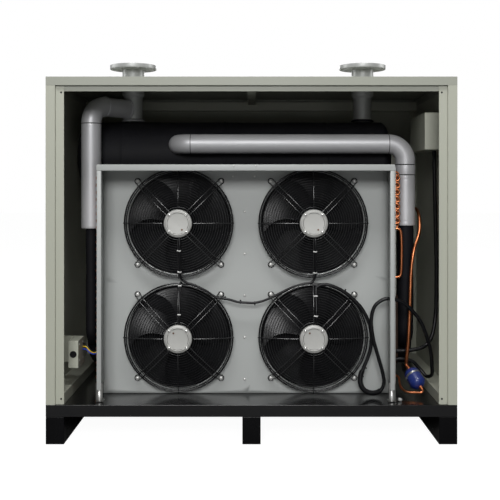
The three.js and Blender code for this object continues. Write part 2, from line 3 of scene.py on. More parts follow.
import bmesh
import bpy
import numpy as np
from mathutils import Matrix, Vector


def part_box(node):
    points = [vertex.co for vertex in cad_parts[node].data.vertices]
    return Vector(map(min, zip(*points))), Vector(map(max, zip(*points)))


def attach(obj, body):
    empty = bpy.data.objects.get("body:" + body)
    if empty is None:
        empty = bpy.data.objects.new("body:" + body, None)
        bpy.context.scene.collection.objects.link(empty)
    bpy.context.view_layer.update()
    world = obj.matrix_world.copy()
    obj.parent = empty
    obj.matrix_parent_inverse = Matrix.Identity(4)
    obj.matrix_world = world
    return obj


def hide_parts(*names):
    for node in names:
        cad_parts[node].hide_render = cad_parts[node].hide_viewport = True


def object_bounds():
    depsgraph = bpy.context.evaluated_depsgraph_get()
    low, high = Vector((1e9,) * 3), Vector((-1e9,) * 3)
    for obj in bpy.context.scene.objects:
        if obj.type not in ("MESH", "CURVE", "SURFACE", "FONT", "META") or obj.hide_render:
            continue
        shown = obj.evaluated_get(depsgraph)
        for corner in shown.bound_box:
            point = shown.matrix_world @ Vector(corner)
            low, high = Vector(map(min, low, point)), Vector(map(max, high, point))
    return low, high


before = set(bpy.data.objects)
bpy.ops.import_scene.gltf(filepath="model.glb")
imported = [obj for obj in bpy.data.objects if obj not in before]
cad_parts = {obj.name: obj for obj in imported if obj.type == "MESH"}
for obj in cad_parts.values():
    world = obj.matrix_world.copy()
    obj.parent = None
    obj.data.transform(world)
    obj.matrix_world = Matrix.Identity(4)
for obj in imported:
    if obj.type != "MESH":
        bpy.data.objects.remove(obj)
cad_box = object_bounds()
low_corner = cad_box[0]


# ---- viewpoint ------------------------------------------------------------------------------------
# A long lens stands four metres in front of the open side, level, a little over a metre up. The frame
# is slid down instead of tilting the lens, so the cabinet's uprights stay parallel.
def add_object(name, data):
    """A new object at the origin, linked to the scene."""
    item = bpy.data.objects.new(name, data)
    bpy.context.scene.collection.objects.link(item)
    return item


EYE_BACK, EYE_HEIGHT = 3.933, 1.112
camera_data = bpy.data.cameras.new("viewpoint")
camera_data.lens = 64.8
camera_data.sensor_width = 36.0
camera_data.shift_x = -0.003
camera_data.shift_y = -0.12
camera_data.dof.use_dof = False
camera = add_object("viewpoint", camera_data)
camera.location = (0.0, low_corner[1] - EYE_BACK, EYE_HEIGHT)
camera.rotation_euler = (math.radians(90), 0, 0)
bpy.context.scene.camera = camera


# ---- studio ---------------------------------------------------------------------------------------
# A pale seamless floor under the skid. One large soft box stands far in front and one high above, so the
# lid and the side panels shade the inside; smaller boxes light the front low down, the sides and the back.
def feed(tree, node, inputs):
    """Sets a shader node's inputs, each to a plain value or to the output of the node that feeds it."""
    for socket, value in inputs.items():
        if isinstance(value, bpy.types.NodeSocket):
            tree.links.new(value, node.inputs[socket])
        else:
            node.inputs[socket].default_value = value


def add_node(tree, kind, inputs=None, **settings):
    """A new shader node of one kind, with its settings and then its inputs."""
    node = tree.nodes.new(f"ShaderNode{kind}")
    for setting, value in settings.items():
        setattr(node, setting, value)
    feed(tree, node, inputs or {})
    return node


def arithmetic(tree, operation, *values, clamp=False):
    """The result of one sum on up to three values or outputs."""
    inputs = dict(enumerate(values))
    return add_node(tree, "Math", inputs, operation=operation, use_clamp=clamp).outputs[0]


def seen_or_lit(tree, seen, lit):
    """A strength: seen for the rays that leave the lens, lit for every other ray."""
    rays = add_node(tree, "LightPath")
    return arithmetic(tree, "MULTIPLY_ADD", rays.outputs["Is Camera Ray"], seen - lit, lit)


def add_floor(half, drop, paper, glow):
    """A flat square just under the skid, in matt paper that looks white but throws little light up."""
    z = low_corner[2] - drop
    corners = [(-half, -half, z), (half, -half, z), (half, half, z), (-half, half, z)]
    mesh = bpy.data.meshes.new("studio_floor")
    mesh.from_pydata(corners, [], [(0, 1, 2, 3)])
    material = bpy.data.materials.new("studio_paper")
    material.use_nodes = True
    tree = material.node_tree
    feed(tree, tree.nodes["Principled BSDF"], {
        "Base Color": (paper, paper, paper, 1),
        "Roughness": 0.9,
        "Emission Color": (1.0, 1.0, 1.0, 1),
        "Emission Strength": seen_or_lit(tree, glow, 0.0),
    })
    mesh.materials.append(material)
    add_object("studio_floor", mesh)


def add_softbox(name, place, aim, size, watts):
    """A rectangular area light at a place, turned to face the aim."""
    light = bpy.data.lights.new(name, "AREA")
    light.shape = "RECTANGLE"
    light.size, light.size_y = size
    light.energy = watts
    lamp = add_object(name, light)
    lamp.location = place
    lamp.rotation_euler = (Vector(aim) - Vector(place)).to_track_quat("-Z", "Y").to_euler()


def add_world(seen, lit):
    """White behind everything for the lens; a much weaker even light for everything else."""
    world = bpy.data.worlds.new("studio_air")
    world.use_nodes = True
    tree = world.node_tree
    feed(tree, tree.nodes["Background"], {
        "Color": (1.0, 1.0, 1.0, 1),
        "Strength": seen_or_lit(tree, seen, lit),
    })
    bpy.context.scene.world = world


add_floor(half=40.0, drop=0.001, paper=0.18, glow=0.96)
add_softbox("front_box", (-0.5, -11.5, 5.0), (0, -0.3, 0.9), (5.0, 3.0), 735)
add_softbox("overhead_box", (0, -4.0, 8.0), (0, -0.6, 0.4), (5.0, 2.0), 400)
add_softbox("low_box", (0.3, -6.0, 0.35), (0, -0.4, 0.8), (4.5, 0.5), 11)
add_softbox("right_box", (5.0, 1.0, 2.6), (0.9, 0, 0.9), (2.0, 2.4), 80)
add_softbox("left_box", (-5.0, 1.0, 2.6), (-0.9, 0, 0.9), (2.0, 2.4), 80)
add_softbox("back_box", (0, 6.0, 3.2), (0, 0.5, 0.8), (4.0, 2.4), 200)
add_world(seen=1.0, lit=0.11)
bpy.context.scene.view_settings.view_transform = "Standard"


# ---- skid -----------------------------------------------------------------------------------------
# Three capped box runners welded under a shallow pressed tray, sprayed black, glossier on the tray. The
# folded edges are slightly round and catch the light, and the paint is a little dusty on top.
def shared_effect(name, taken, given):
    """A shader group with named inputs and outputs; returns it with its inner ends."""
    group = bpy.data.node_groups.new(name, "ShaderNodeTree")
    for way, sockets in (("INPUT", taken), ("OUTPUT", given)):
        for socket, kind in sockets.items():
            group.interface.new_socket(socket, in_out=way, socket_type=f"NodeSocket{kind}")
    return group, group.nodes.new("NodeGroupInput").outputs, group.nodes.new("NodeGroupOutput")


def noise(tree, scale, detail):
    """Soft noise of a scale, laid in the object's own space."""
    place = add_node(tree, "TexCoord").outputs["Object"]
    return add_node(tree, "TexNoise", {"Vector": place, "Scale": scale, "Detail": detail}).outputs["Fac"]


def wear_group():
    """Shared effect: large soft mottling of a colour, fine dust on faces that look up, and a mask.

    Colour out = colour in, lightened or darkened by broad noise times Mottle, then mixed towards pale
    dust where the surface normal points up and finer noise is high. Marks is the broad noise itself.
    """
    group, taken, given = shared_effect(
        "handling_marks",
        {"Colour": "Color", "Mottle": "Float", "Dust": "Float", "Scale": "Float"},
        {"Colour": "Color", "Marks": "Float"},
    )
    pale_dust = (0.42, 0.40, 0.36, 1)
    broad = noise(group, taken["Scale"], 5)
    fine = noise(group, 60, 6)
    swing = arithmetic(group, "MULTIPLY", arithmetic(group, "SUBTRACT", broad, 0.5), taken["Mottle"])
    gain = arithmetic(group, "ADD", swing, 1.0)
    shaded = add_node(group, "VectorMath", {0: taken["Colour"], "Scale": gain}, operation="SCALE")
    normal = add_node(group, "NewGeometry").outputs["Normal"]
    rise = add_node(group, "SeparateXYZ", {0: normal}).outputs["Z"]
    settled = arithmetic(group, "MULTIPLY", rise, fine, clamp=True)
    dust = arithmetic(group, "MULTIPLY", settled, taken["Dust"], clamp=True)
    blend = {"Factor": dust, "A": shaded.outputs[0], "B": pale_dust}
    mixed = add_node(group, "Mix", blend, data_type="RGBA")
    feed(group, given, {"Colour": mixed.outputs["Result"], "Marks": broad})
    return group


def grain_group():
    """Shared effect: the height of a sprayed or cast skin, fine noise plus four times broad noise."""
    group, taken, given = shared_effect("skin_grain", {"Scale": "Float"}, {"Height": "Float"})
    fine = noise(group, taken["Scale"], 3)
    broad = noise(group, 7, 2)
    feed(group, given, {"Height": arithmetic(group, "MULTIPLY_ADD", broad, 4.0, fine)})
    return group


WEAR = wear_group()
GRAIN = grain_group()


def finish_of(name, colour, roughness, metallic=0.0, mottle=0.2, dust=0.1, scale=3.0, grain=500.0,
              depth=0.00004, coat=0.0, spread=0.12, gloss=0.5):
    """A finish: the shared marks on the colour, roughness swinging with them, and a fine bumped skin."""
    material = bpy.data.materials.new(name)
    material.use_nodes = True
    tree = material.node_tree
    marks = add_node(tree, "Group", node_tree=WEAR)
    feed(tree, marks, {"Colour": (*colour, 1), "Mottle": mottle, "Dust": dust, "Scale": scale})
    rough = add_node(tree, "MapRange", {
        "Value": marks.outputs["Marks"],
        "To Min": max(0.02, roughness - spread),
        "To Max": min(1.0, roughness + spread),
    })
    skin = add_node(tree, "Group", node_tree=GRAIN)
    feed(tree, skin, {"Scale": grain})
    bump = add_node(tree, "Bump", {"Distance": depth, "Height": skin.outputs["Height"]})
    feed(tree, tree.nodes["Principled BSDF"], {
        "Base Color": marks.outputs["Colour"],
        "Roughness": rough.outputs["Result"],
        "Metallic": metallic,
        "Specular IOR Level": gloss,
        "Coat Weight": coat,
        "Coat Roughness": 0.15,
        "Normal": bump.outputs["Normal"],
    })
    return material


def rework(mesh, change):
    """Runs one change over a mesh while it is open for editing."""
    work = bmesh.new()
    work.from_mesh(mesh)
    change(work)
    work.to_mesh(mesh)
    work.free()


def folded_copy(node, material, edge):
    """The node's own solid with its edges rounded by a narrow two-step bevel, as folded sheet has."""
    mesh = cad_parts[node].data.copy()
    rework(mesh, lambda work: bmesh.ops.remove_doubles(work, verts=work.verts, dist=0.00002))
    rework(mesh, lambda work: bmesh.ops.dissolve_limit(
        work, angle_limit=math.radians(1), verts=work.verts, edges=work.edges))
    mesh.materials.clear()
    mesh.materials.append(material)
    mesh.polygons.foreach_set("use_smooth", [False] * len(mesh.polygons))
    piece = add_object(f"finished_{node}", mesh)
    bevel = piece.modifiers.new("fold", "BEVEL")
    bevel.width = edge
    bevel.segments = 2
    bevel.limit_method = "ANGLE"
    bevel.angle_limit = math.radians(50)
    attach(piece, "cabinet")
    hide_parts(node)


deep_black = (0.003, 0.003, 0.0035)
skid_black = finish_of("skid_black", deep_black, 0.26, gloss=0.12, mottle=0.5, dust=0.006, scale=5,
                       spread=0.08)
tray_black = finish_of("tray_black", deep_black, 0.18, gloss=0.55, mottle=0.5, dust=0.004, scale=5,
                       spread=0.05)
for side in ("left", "middle", "right"):
    folded_copy(f"skid_runner_{side}", skid_black, 0.0025)
folded_copy("base_tray", tray_black, 0.0035)

# ---- cabinet skins --------------------------------------------------------------------------------
# Side, back and lid panels, posts and rails are folded two-millimetre sheet in a beige-grey powder
# coat, which has a faint orange-peel skin. The lid and its rail take a darker copy of the same coat:
# painted shade for the lid's shadow on the rail and for the lid front lying darker in the light.
SHEET_EDGE = 0.0006
powder_skin = {"mottle": 0.07, "dust": 0.03, "scale": 1.5, "grain": 900, "depth": 0.00003}
beige_coat = finish_of("beige_powder_coat", (0.405, 0.415, 0.345), 0.46, **powder_skin)
# A darker copy of the beige coat: painted shade on the lid and the top rail.
lid_shaded_coat = finish_of("lid_powder_coat_painted_shade", (0.315, 0.325, 0.275), 0.46, **powder_skin)
for node in ("front_post_left", "front_post_right", "roof_frame", "side_panel_left", "side_panel_right",
             "back_panel", "floor_ledge_left", "floor_ledge_right"):
    folded_copy(node, beige_coat, SHEET_EDGE)
for node in ("lid", "top_rail"):
    folded_copy(node, lid_shaded_coat, SHEET_EDGE)


# ---- vessel surfaces ------------------------------------------------------------------------------
# The two vessels are rolled drums with dished ends, wrapped in black closed-cell foam sheet; the foam's
# overlap seams stand a little proud, and it is slightly uneven by hand.
RIGHT, BACK, UP = np.eye(3)
FRONT = -BACK


def box_of(node):
    """A node's low corner, high corner and middle."""
    low, high = (np.array(corner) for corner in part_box(node))
    return low, high, (low + high) / 2


def unit(vector):
    """The vector divided by its length."""
    vector = np.array(vector, float)
    return vector / np.linalg.norm(vector)


def square_to(axis):
    """A direction square to an axis: up crossed with it, or right crossed with it where it is upright."""
    return unit(np.cross(UP if abs(axis[2]) < 0.9 else RIGHT, axis))


def piece_from_grids(name, grids, material, body="cabinet", smooth=40, node=None):
    """One mesh over several grids of points. A grid is (points, around, ends).

    points[row, column] is a place; each cell between neighbouring rows and columns is one quad. With
    around, the last column joins the first; with ends, the first and last rows are closed by one face.
    """
    places, faces, start = [], [], 0
    for points, around, ends in grids:
        rows, columns = points.shape[:2]
        number = np.arange(rows * columns).reshape(rows, columns) + start
        right = np.roll(number, -1, axis=1)
        here, beside = (number, right) if around else (number[:, :-1], number[:, 1:])
        cells = np.stack([here[:-1], beside[:-1], beside[1:], here[1:]], axis=-1).reshape(-1, 4)
        faces.extend(cells.tolist())
        if ends:
            faces.append(number[0, ::-1].tolist())
            faces.append(number[-1].tolist())
        places.append(points.reshape(-1, 3))
        start += rows * columns
    mesh = bpy.data.meshes.new(name)
    mesh.from_pydata(np.concatenate(places).tolist(), [], faces)
    rework(mesh, lambda work: bmesh.ops.remove_doubles(work, verts=work.verts, dist=0.0000005))
    smooth_faces(mesh, smooth)
    mesh.materials.append(material)
    piece = add_object(name, mesh)
    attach(piece, body)
    if node:
        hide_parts(node)
    return piece


def smooth_faces(mesh, degrees):
    """Smooth shading, kept crisp where two faces meet at more than an angle."""
    mesh.polygons.foreach_set("use_smooth", [True] * len(mesh.polygons))
    mesh.set_sharp_from_angle(angle=math.radians(degrees))


def turned_grid(profile, origin, axis, sides=64):
    """A profile of (radius, height) turned about an axis: place = origin + height * axis
    + radius * (cos angle * one side direction + sin angle * the other)."""
    axis = unit(axis)
    first = square_to(axis)
    second = np.cross(axis, first)
    angle = np.linspace(0, 2 * np.pi, sides, endpoint=False)
    radius, height = np.array(profile, float).T
    spokes = np.cos(angle)[:, None] * first + np.sin(angle)[:, None] * second
    points = np.array(origin) + height[:, None, None] * axis + radius[:, None, None] * spokes
    return points, True, False


def lagged_drum(name, node, seams):
    """A drum along X: radius = full radius, dropping to nothing over an elliptical dish at each end,
    plus a 2 mm raised band at each seam and a slow millimetre of hand-wrapped unevenness."""
    seam_height, seam_width, wrap_depth = 0.0022, 0.006, 0.0011
    low, high, centre = box_of(node)
    radius = (high[2] - low[2]) / 2 - 0.001
    dish = 0.3 * radius
    x = np.concatenate([
        low[0] + dish * (1 - np.cos(np.linspace(0, np.pi / 2, 10))),
        np.linspace(low[0] + dish, high[0] - dish, 260)[1:-1],
        high[0] - dish * (1 - np.cos(np.linspace(np.pi / 2, 0, 10))),
    ])
    inset = np.clip(np.minimum(x - low[0], high[0] - x) / dish, 0, 1)
    profile = radius * np.sqrt(1 - (1 - inset) ** 2)
    angle = np.linspace(0, 2 * np.pi, 96, endpoint=False)
    wrap = wrap_depth * np.sin(3 * angle[None, :] + 6 * x[:, None]) * np.sin(9 * x[:, None] + 1.0)
    bands = sum(seam_height / (1 + ((x - seam) / seam_width) ** 4) for seam in seams)
    r = profile[:, None] + (bands[:, None] - seam_height + wrap) * (inset[:, None] > 0.5)
    along = np.broadcast_to(x[:, None], r.shape)
    points = np.stack([along, centre[1] + r * np.cos(angle), centre[2] + r * np.sin(angle)], axis=-1)
    piece_from_grids(name, [(points, True, False)], foam_black, node=node)


foam_black = finish_of("foam_lagging", (0.006, 0.006, 0.008), 0.62, gloss=0.15, mottle=0.7, dust=0.01,
                       scale=9, grain=260, depth=0.0005, spread=0.1)
lagged_drum("drum_lagging", "heat_exchanger", (-0.62, -0.13, 0.36))
lagged_drum("evaporator_lagging", "evaporator", (-0.4, 0.1, 0.55))
for side in ("left", "right"):
    folded_copy(f"vessel_stand_{side}", skid_black, 0.001)


# ---- silver pipework ------------------------------------------------------------------------------
# Four-inch and three-inch welded pipe sprayed silver, with weld rings at the elbows' ends and a grooved
# coupling on the riser. Below the sleeves, the pipes go on inside black foam tube.
def rounded_profile(corners, radius, steps=4):
    """A profile whose inner corners are rounded: each is swapped for a quadratic arc between points
    that lie the rounding radius away from it along its two sides."""
    corners = np.array(corners, float)
    out = [corners[0]]
    for before, corner, after in zip(corners[:-2], corners[1:-1], corners[2:]):
        into, out_of = before - corner, after - corner
        reach = min(radius, 0.45 * np.linalg.norm(into), 0.45 * np.linalg.norm(out_of))
        start = corner + unit(into) * reach
        finish = corner + unit(out_of) * reach
        for t in np.linspace(0, 1, steps):
            out.append((1 - t) ** 2 * start + 2 * t * (1 - t) * corner + t ** 2 * finish)
    out.append(corners[-1])
    return out


def bent_line(corners, bend, steps=14, straight=6):
    """The centre line of a pipe: straight runs, and at each corner an arc of the bend radius whose
    point = arc start + bend * sin(a) * old direction + bend * (1 - cos(a)) * turning direction."""
    corners = np.array(corners, float)
    out = [corners[0]]
    for before, corner, after in zip(corners[:-2], corners[1:-1], corners[2:]):
        old, new = unit(corner - before), unit(after - corner)
        turn = math.acos(float(np.clip(old @ new, -1, 1)))
        start = corner - old * bend * math.tan(turn / 2)
        side = unit(new - (new @ old) * old)
        last = out[-1]
        out.extend(last + (start - last) * t for t in np.linspace(0, 1, straight)[1:-1])
        angle = np.linspace(0, turn, steps)[:, None]
        out.extend(start + bend * np.sin(angle) * old + bend * (1 - np.cos(angle)) * side)
    last = out[-1]
    out.extend(last + (corners[-1] - last) * t for t in np.linspace(0, 1, straight)[1:])
    return np.array(out)


def swept_grid(line, radius, sides=40):
    """A round section carried along a line: point = line + radius * (cos a * first + sin a * second),
    where first is carried from one station to the next with the least turn, and second is square to it."""
    line = np.array(line, float)
    ahead = np.gradient(line, axis=0)
    ahead /= np.linalg.norm(ahead, axis=1)[:, None]
    first = square_to(ahead[0])
    firsts = []
    for direction in ahead:
        first = unit(first - (first @ direction) * direction)
        firsts.append(first)
    firsts = np.array(firsts)
    seconds = np.cross(ahead, firsts)
    angle = np.linspace(0, 2 * np.pi, sides, endpoint=False)[:, None]
    radii = np.broadcast_to(np.asarray(radius, float).reshape(-1, 1, 1), (len(line), 1, 1))
    ring = np.cos(angle) * firsts[:, None] + np.sin(angle) * seconds[:, None]
    return line[:, None] + radii * ring, True, True


def weld_ring(centre, axis, radius, bead):
    """A weld bead: a small round section turned about the pipe's axis at the pipe's radius."""
    angle = np.linspace(0, 2 * np.pi, 9)
    profile = np.stack([radius + bead * np.cos(angle), bead * 1.4 * np.sin(angle)], axis=-1)
    return turned_grid(profile, centre, axis, 56)


silver_paint = finish_of("silver_pipe_paint", (0.53, 0.53, 0.545), 0.46, metallic=0.35, mottle=0.22,
                         dust=0.12, scale=7, grain=420, depth=0.0001, spread=0.1)


def silver_piece(name, node, grids):
    """A piece of the silver pipework that stands for one node."""
    piece_from_grids(name, grids, silver_paint, node=node)


def upright_sleeve(name, node):
    """A pipe sleeve: straight, with rounded rims and two very shallow rolled rings near its ends."""
    low, high, middle = box_of(node)
    rim_round, rim_drop, ring_in, ring_depth = 0.003, 0.002, 0.020, 0.0006
    h = np.linspace(low[2], high[2], 90)
    rim = np.minimum(h - low[2], high[2] - h)
    rolled = ring_depth * np.exp(-((rim - ring_in) / rim_round) ** 2)
    r = (high[0] - low[0]) / 2 - rim_drop * np.clip(1 - rim / rim_round, 0, 1) ** 2 - rolled
    profile = [(0, low[2]), *zip(r, h), (0, high[2])]
    silver_piece(name, node, [turned_grid(profile, (middle[0], middle[1], 0), UP)])


NECK_X, NECK_Y = -0.588, 0.050
DROP_X, DROP_Y = -0.757, -0.180
BRANCH_Z, BRANCH_R, BRANCH_BEND = 1.511, 0.0455, 0.084
ELBOW_R = 0.0468
neck_axis = np.array([NECK_X, NECK_Y, BRANCH_Z])
drop_axis = np.array([DROP_X, DROP_Y, BRANCH_Z])
way = unit(drop_axis - neck_axis)
branch_end = drop_axis - way * BRANCH_BEND
elbow_foot = drop_axis - UP * BRANCH_BEND
silver_piece("inlet_branch_pipe", "inlet_branch", [
    swept_grid(np.linspace(neck_axis + way * 0.046, branch_end, 12), BRANCH_R),
    weld_ring(neck_axis + way * 0.050, way, BRANCH_R + 0.0015, 0.0038),
])
elbow_line = bent_line([branch_end, drop_axis, elbow_foot], BRANCH_BEND * 0.9999, 24, 3)
silver_piece("inlet_elbow_pipe", "inlet_elbow", [
    swept_grid(elbow_line, ELBOW_R),
    weld_ring(branch_end, way, ELBOW_R, 0.0036),
])
upright_sleeve("inlet_drop_sleeve", "inlet_drop_pipe")
upright_sleeve("riser_sleeve", "riser_pipe")

CROSS_START, CROSS_Y, CROSS_Z = -0.352, -0.170, 1.330
CROSS_R, CROSS_BEND = 0.046, 0.080
RISER_X = 0.7275
cross_corner = np.array([RISER_X, CROSS_Y, CROSS_Z])
cross_seam = cross_corner - RIGHT * CROSS_BEND
cross_line = bent_line([(CROSS_START, -0.108, CROSS_Z), (CROSS_START, CROSS_Y, CROSS_Z), cross_seam],
                       0.0615, 22, 30)
silver_piece("cross_pipe_run", "cross_pipe", [swept_grid(cross_line, CROSS_R - 0.0002)])
riser_line = bent_line([cross_seam, cross_corner, cross_corner - UP * (CROSS_BEND + 0.016)],
                       CROSS_BEND * 0.9999, 24, 3)
silver_piece("cross_elbow_pipe", "cross_elbow", [swept_grid(riser_line, CROSS_R)])

GROOVE, GROOVE_R, BAND_R = 0.0035, CROSS_R - 0.004, CROSS_R + 0.0006
ring_low, ring_high = (corner[2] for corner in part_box("pipe_coupling"))
ring_profile = rounded_profile([
    (0, ring_low), (GROOVE_R, ring_low), (GROOVE_R, ring_low + GROOVE), (BAND_R, ring_low + GROOVE),
    (BAND_R, ring_high - GROOVE), (GROOVE_R, ring_high - GROOVE), (GROOVE_R, ring_high), (0, ring_high),
], 0.0015)
silver_piece("grooved_coupling", "pipe_coupling", [turned_grid(ring_profile, (RISER_X, CROSS_Y, 0), UP)])
# Black rings: in the coupling's two end steps they are painted shade for the dark of the grooves; at the
# three pipe joints they are dark joint bands.
groove_shade_and_joint_black = finish_of("coupling_groove_shade_and_joint_bands", (0.01, 0.01, 0.01), 0.6, mottle=0.3, dust=0.0)
piece_from_grids("coupling_groove_shades_and_joint_bands", [
    weld_ring((RISER_X, CROSS_Y, ring_low + GROOVE / 2), UP, CROSS_R - 0.0022, 0.0016),
    weld_ring((RISER_X, CROSS_Y, ring_high - GROOVE / 2), UP, CROSS_R - 0.0022, 0.0016),
    weld_ring((-0.288, CROSS_Y, CROSS_Z), RIGHT, CROSS_R - 0.0006, 0.0012),
    weld_ring(cross_seam + RIGHT * 0.001, RIGHT, CROSS_R - 0.0004, 0.0012),
    weld_ring(elbow_foot - UP * 0.001, UP, ELBOW_R - 0.0002, 0.0014),
], groove_shade_and_joint_black)


def foam_tube(name, node, sleeve, x, y, radius, bend):
    """Foam tube on a falling pipe that turns back into the lower vessel; its radius swells and
    shrinks by under a millimetre along its length, and a glued joint stands up every half metre."""
    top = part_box(sleeve)[0][2] - 0.0004
    vessel_low, _, vessel_middle = box_of("evaporator")
    z = vessel_middle[2]
    line = bent_line([(x, y, top), (x, y, z), (x, vessel_low[1] + 0.02, z)], bend, 16, 70)
    fall = top - line[:, 2]
    under_size, swell, joint_height, joint_width, joint_pitch = 0.0014, 0.0008, 0.0012, 0.006, 0.5
    joint = joint_height * np.exp(-(((fall % joint_pitch) - joint_pitch / 2) / joint_width) ** 2)
    radii = radius - under_size + swell * np.sin(fall * 23) + joint
    piece_from_grids(name, [swept_grid(line, radii)], foam_black, node=node)


foam_tube("inlet_foam_tube", "inlet_lagged_pipe", "inlet_drop_pipe", DROP_X, DROP_Y, 0.027, 0.060)
foam_tube("riser_foam_tube", "riser_lagged_pipe", "riser_pipe", RISER_X, CROSS_Y, 0.040, 0.070)


# ---- flanged necks --------------------------------------------------------------------------------
# Each connection is a weld-neck flange turned from forged steel, with eight drilled bolt holes, on a
# narrower pipe that comes up from the drum. A collar seals its foot against the lagging: painted with
# the pipework at the inlet, bare black foam at the outlet.
def solid_profile(radius, low, high):
    """The outline of a plain solid cylinder."""
    return [(0, low), (radius, low), (radius, high), (0, high)]


def drilled(piece, middle, circle, radius, count, low, high):
    """Bolt holes cut through a piece by cylinders that stand on a bolt circle."""
    cutters = []
    for turn in (np.arange(count) + 0.5) * 2 * np.pi / count:
        foot = (middle[0] + circle * math.cos(turn), middle[1] + circle * math.sin(turn), 0)
        cutters.append(turned_grid(solid_profile(radius, low, high), foot, UP, 24))
    cutter = piece_from_grids("hole_cutter", cutters, piece.data.materials[0])
    cut = piece.modifiers.new("holes", "BOOLEAN")
    cut.object = cutter
    cut.solver = "EXACT"
    bpy.context.view_layer.update()
    finished = bpy.data.meshes.new_from_object(piece.evaluated_get(bpy.context.evaluated_depsgraph_get()))
    piece.modifiers.clear()
    piece.data = finished
    smooth_faces(finished, 35)
    bpy.data.objects.remove(cutter)


flange_steel = finish_of("flange_paint", (0.40, 0.41, 0.40), 0.42, metallic=0.3, mottle=0.25, scale=12,
                         depth=0.00008)
FLANGE_R, FLANGE_THICK, FACE_R, FACE_RISE = 0.1145, 0.022, 0.078, 0.002
HUB_R, HUB_FOOT, HUB_TAPER, PIPE_R, BORE_R = 0.054, 1.580, 0.014, 0.0445, 0.040
BOLT_CIRCLE, BOLT_HOLE_R, BOLT_COUNT = 0.09525, 0.0095, 8
drum_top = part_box("heat_exchanger")[1][2]
pipe_foot, collar_foot, collar_r = drum_top + 0.001, drum_top + 0.0005, PIPE_R + 0.0006
for side, flare, collar_finish in (("inlet", 0.014, silver_paint), ("outlet", 0.012, foam_black)):
    _, neck_high, middle = box_of(f"{side}_neck")
    top = neck_high[2]
    face = top - FACE_RISE
    outline = rounded_profile([
        (BORE_R, pipe_foot), (PIPE_R, pipe_foot), (PIPE_R, HUB_FOOT - HUB_TAPER), (HUB_R, HUB_FOOT),
        (HUB_R, top - FLANGE_THICK), (FLANGE_R, top - FLANGE_THICK), (FLANGE_R, face),
        (FLANGE_R - 0.002, face), (FACE_R, face), (FACE_R - 0.001, top), (BORE_R, top), (BORE_R, pipe_foot),
    ], 0.0025)
    foot = (middle[0], middle[1], 0)
    neck = piece_from_grids(f"{side}_flanged_neck", [turned_grid(outline, foot, UP, 72)], flange_steel,
                            node=f"{side}_neck")
    drilled(neck, middle, BOLT_CIRCLE, BOLT_HOLE_R, BOLT_COUNT, top - 0.04, top + 0.02)
    collar_top = drum_top + flare * 0.9
    collar = rounded_profile([
        (collar_r, collar_foot), (PIPE_R + flare, collar_foot), (PIPE_R + flare, drum_top + 0.0035),
        (PIPE_R + 0.002, collar_top), (collar_r, collar_top), (collar_r, collar_foot),
    ], 0.0015)
    piece_from_grids(f"{side}_neck_collar", [turned_grid(collar, foot, UP, 56)], collar_finish)


# ---- fan shroud -----------------------------------------------------------------------------------
# A folded duct of light grey sheet: a fan panel with four pressed, collared holes, and walls at both
# sides and the top that come forward to a turned-in front frame. It stands on two zinc-plated feet.
def panel_cell(x0, x1, z0, z1, y, centre, hole, steps=96, rings=7):
    """The flat sheet between a round hole and a rectangle: each point lies on the straight line from
    the hole's edge to where the same direction meets the rectangle's edge."""
    angle = np.linspace(0, 2 * np.pi, steps, endpoint=False)
    left, right, low, high = x0 - centre[0], x1 - centre[0], z0 - centre[1], z1 - centre[1]
    corners = np.arctan2([high, high, low, low], [right, left, left, right]) % (2 * np.pi)
    nearest = [int(np.argmin(np.abs(np.angle(np.exp(1j * (angle - corner)))))) for corner in corners]
    angle[nearest] = corners
    dx, dz = np.cos(angle), np.sin(angle)
    to_side = np.where(dx > 0, right, -left) / np.maximum(np.abs(dx), 1e-9)
    to_edge = np.where(dz > 0, high, -low) / np.maximum(np.abs(dz), 1e-9)
    share = np.linspace(0, 1, rings)[:, None]
    reach = hole + (np.minimum(to_side, to_edge) - hole) * share
    points = np.stack([centre[0] + reach * dx, np.full_like(reach, y), centre[1] + reach * dz], axis=-1)
    return points, True, False


def folded_strip(section, ends):
    """A sheet of constant section carried straight from one end to the other: place = end + section."""
    section = np.array(section, float)
    return np.stack([section + end for end in np.array(ends, float)]), False, False


def fold_section(corners, radius=0.003):
    """The folded sheet's middle line in plan or side view, with each fold as a small arc."""
    return rounded_profile(corners, radius, 5)


def give_wall(piece, thickness):
    """Turns a surface into sheet of a thickness, half of it on each side."""
    wall = piece.modifiers.new("sheet", "SOLIDIFY")
    wall.thickness = thickness
    wall.offset = 0


def face_outwards(piece):
    """Turns a piece's faces to one side, outwards where it is closed."""
    rework(piece.data, lambda work: bmesh.ops.recalc_face_normals(work, faces=work.faces))


shroud_low, shroud_high, _ = box_of("fan_shroud")
DUCT_LEFT, DUCT_RIGHT, DUCT_FOOT, DUCT_TOP = -0.685, 0.634, 0.227, shroud_high[2]
DUCT_FRONT, PANEL_Y = shroud_low[1], -0.274
SHEET, FRAME_DEPTH, FAN_HOLE = 0.002, 0.020, 0.236
HALF = SHEET / 2
shroud_coat = finish_of("shroud_powder_coat", (0.395, 0.41, 0.40), 0.40, mottle=0.06, dust=0.03, scale=1.2,
                        grain=900, depth=0.00003)
fan_centres = {}
for name in ("top_left", "top_right", "bottom_left", "bottom_right"):
    fan_centres[name] = box_of(f"fan_motor_{name}")[2][[0, 2]]
mid_x = (fan_centres["top_left"][0] + fan_centres["top_right"][0]) / 2
mid_z = (fan_centres["top_left"][1] + fan_centres["bottom_left"][1]) / 2
panel_grids = []
for x, z in fan_centres.values():
    x0, x1 = (DUCT_LEFT + HALF, mid_x) if x < mid_x else (mid_x, DUCT_RIGHT - HALF)
    z0, z1 = (mid_z, DUCT_TOP - HALF) if z > mid_z else (shroud_low[2] + 0.001, mid_z)
    panel_grids.append(panel_cell(x0, x1, z0, z1, PANEL_Y + HALF, (x, z), FAN_HOLE))
panel = piece_from_grids("fan_panel", panel_grids, shroud_coat, node="fan_shroud")
face_outwards(panel)
give_wall(panel, SHEET)
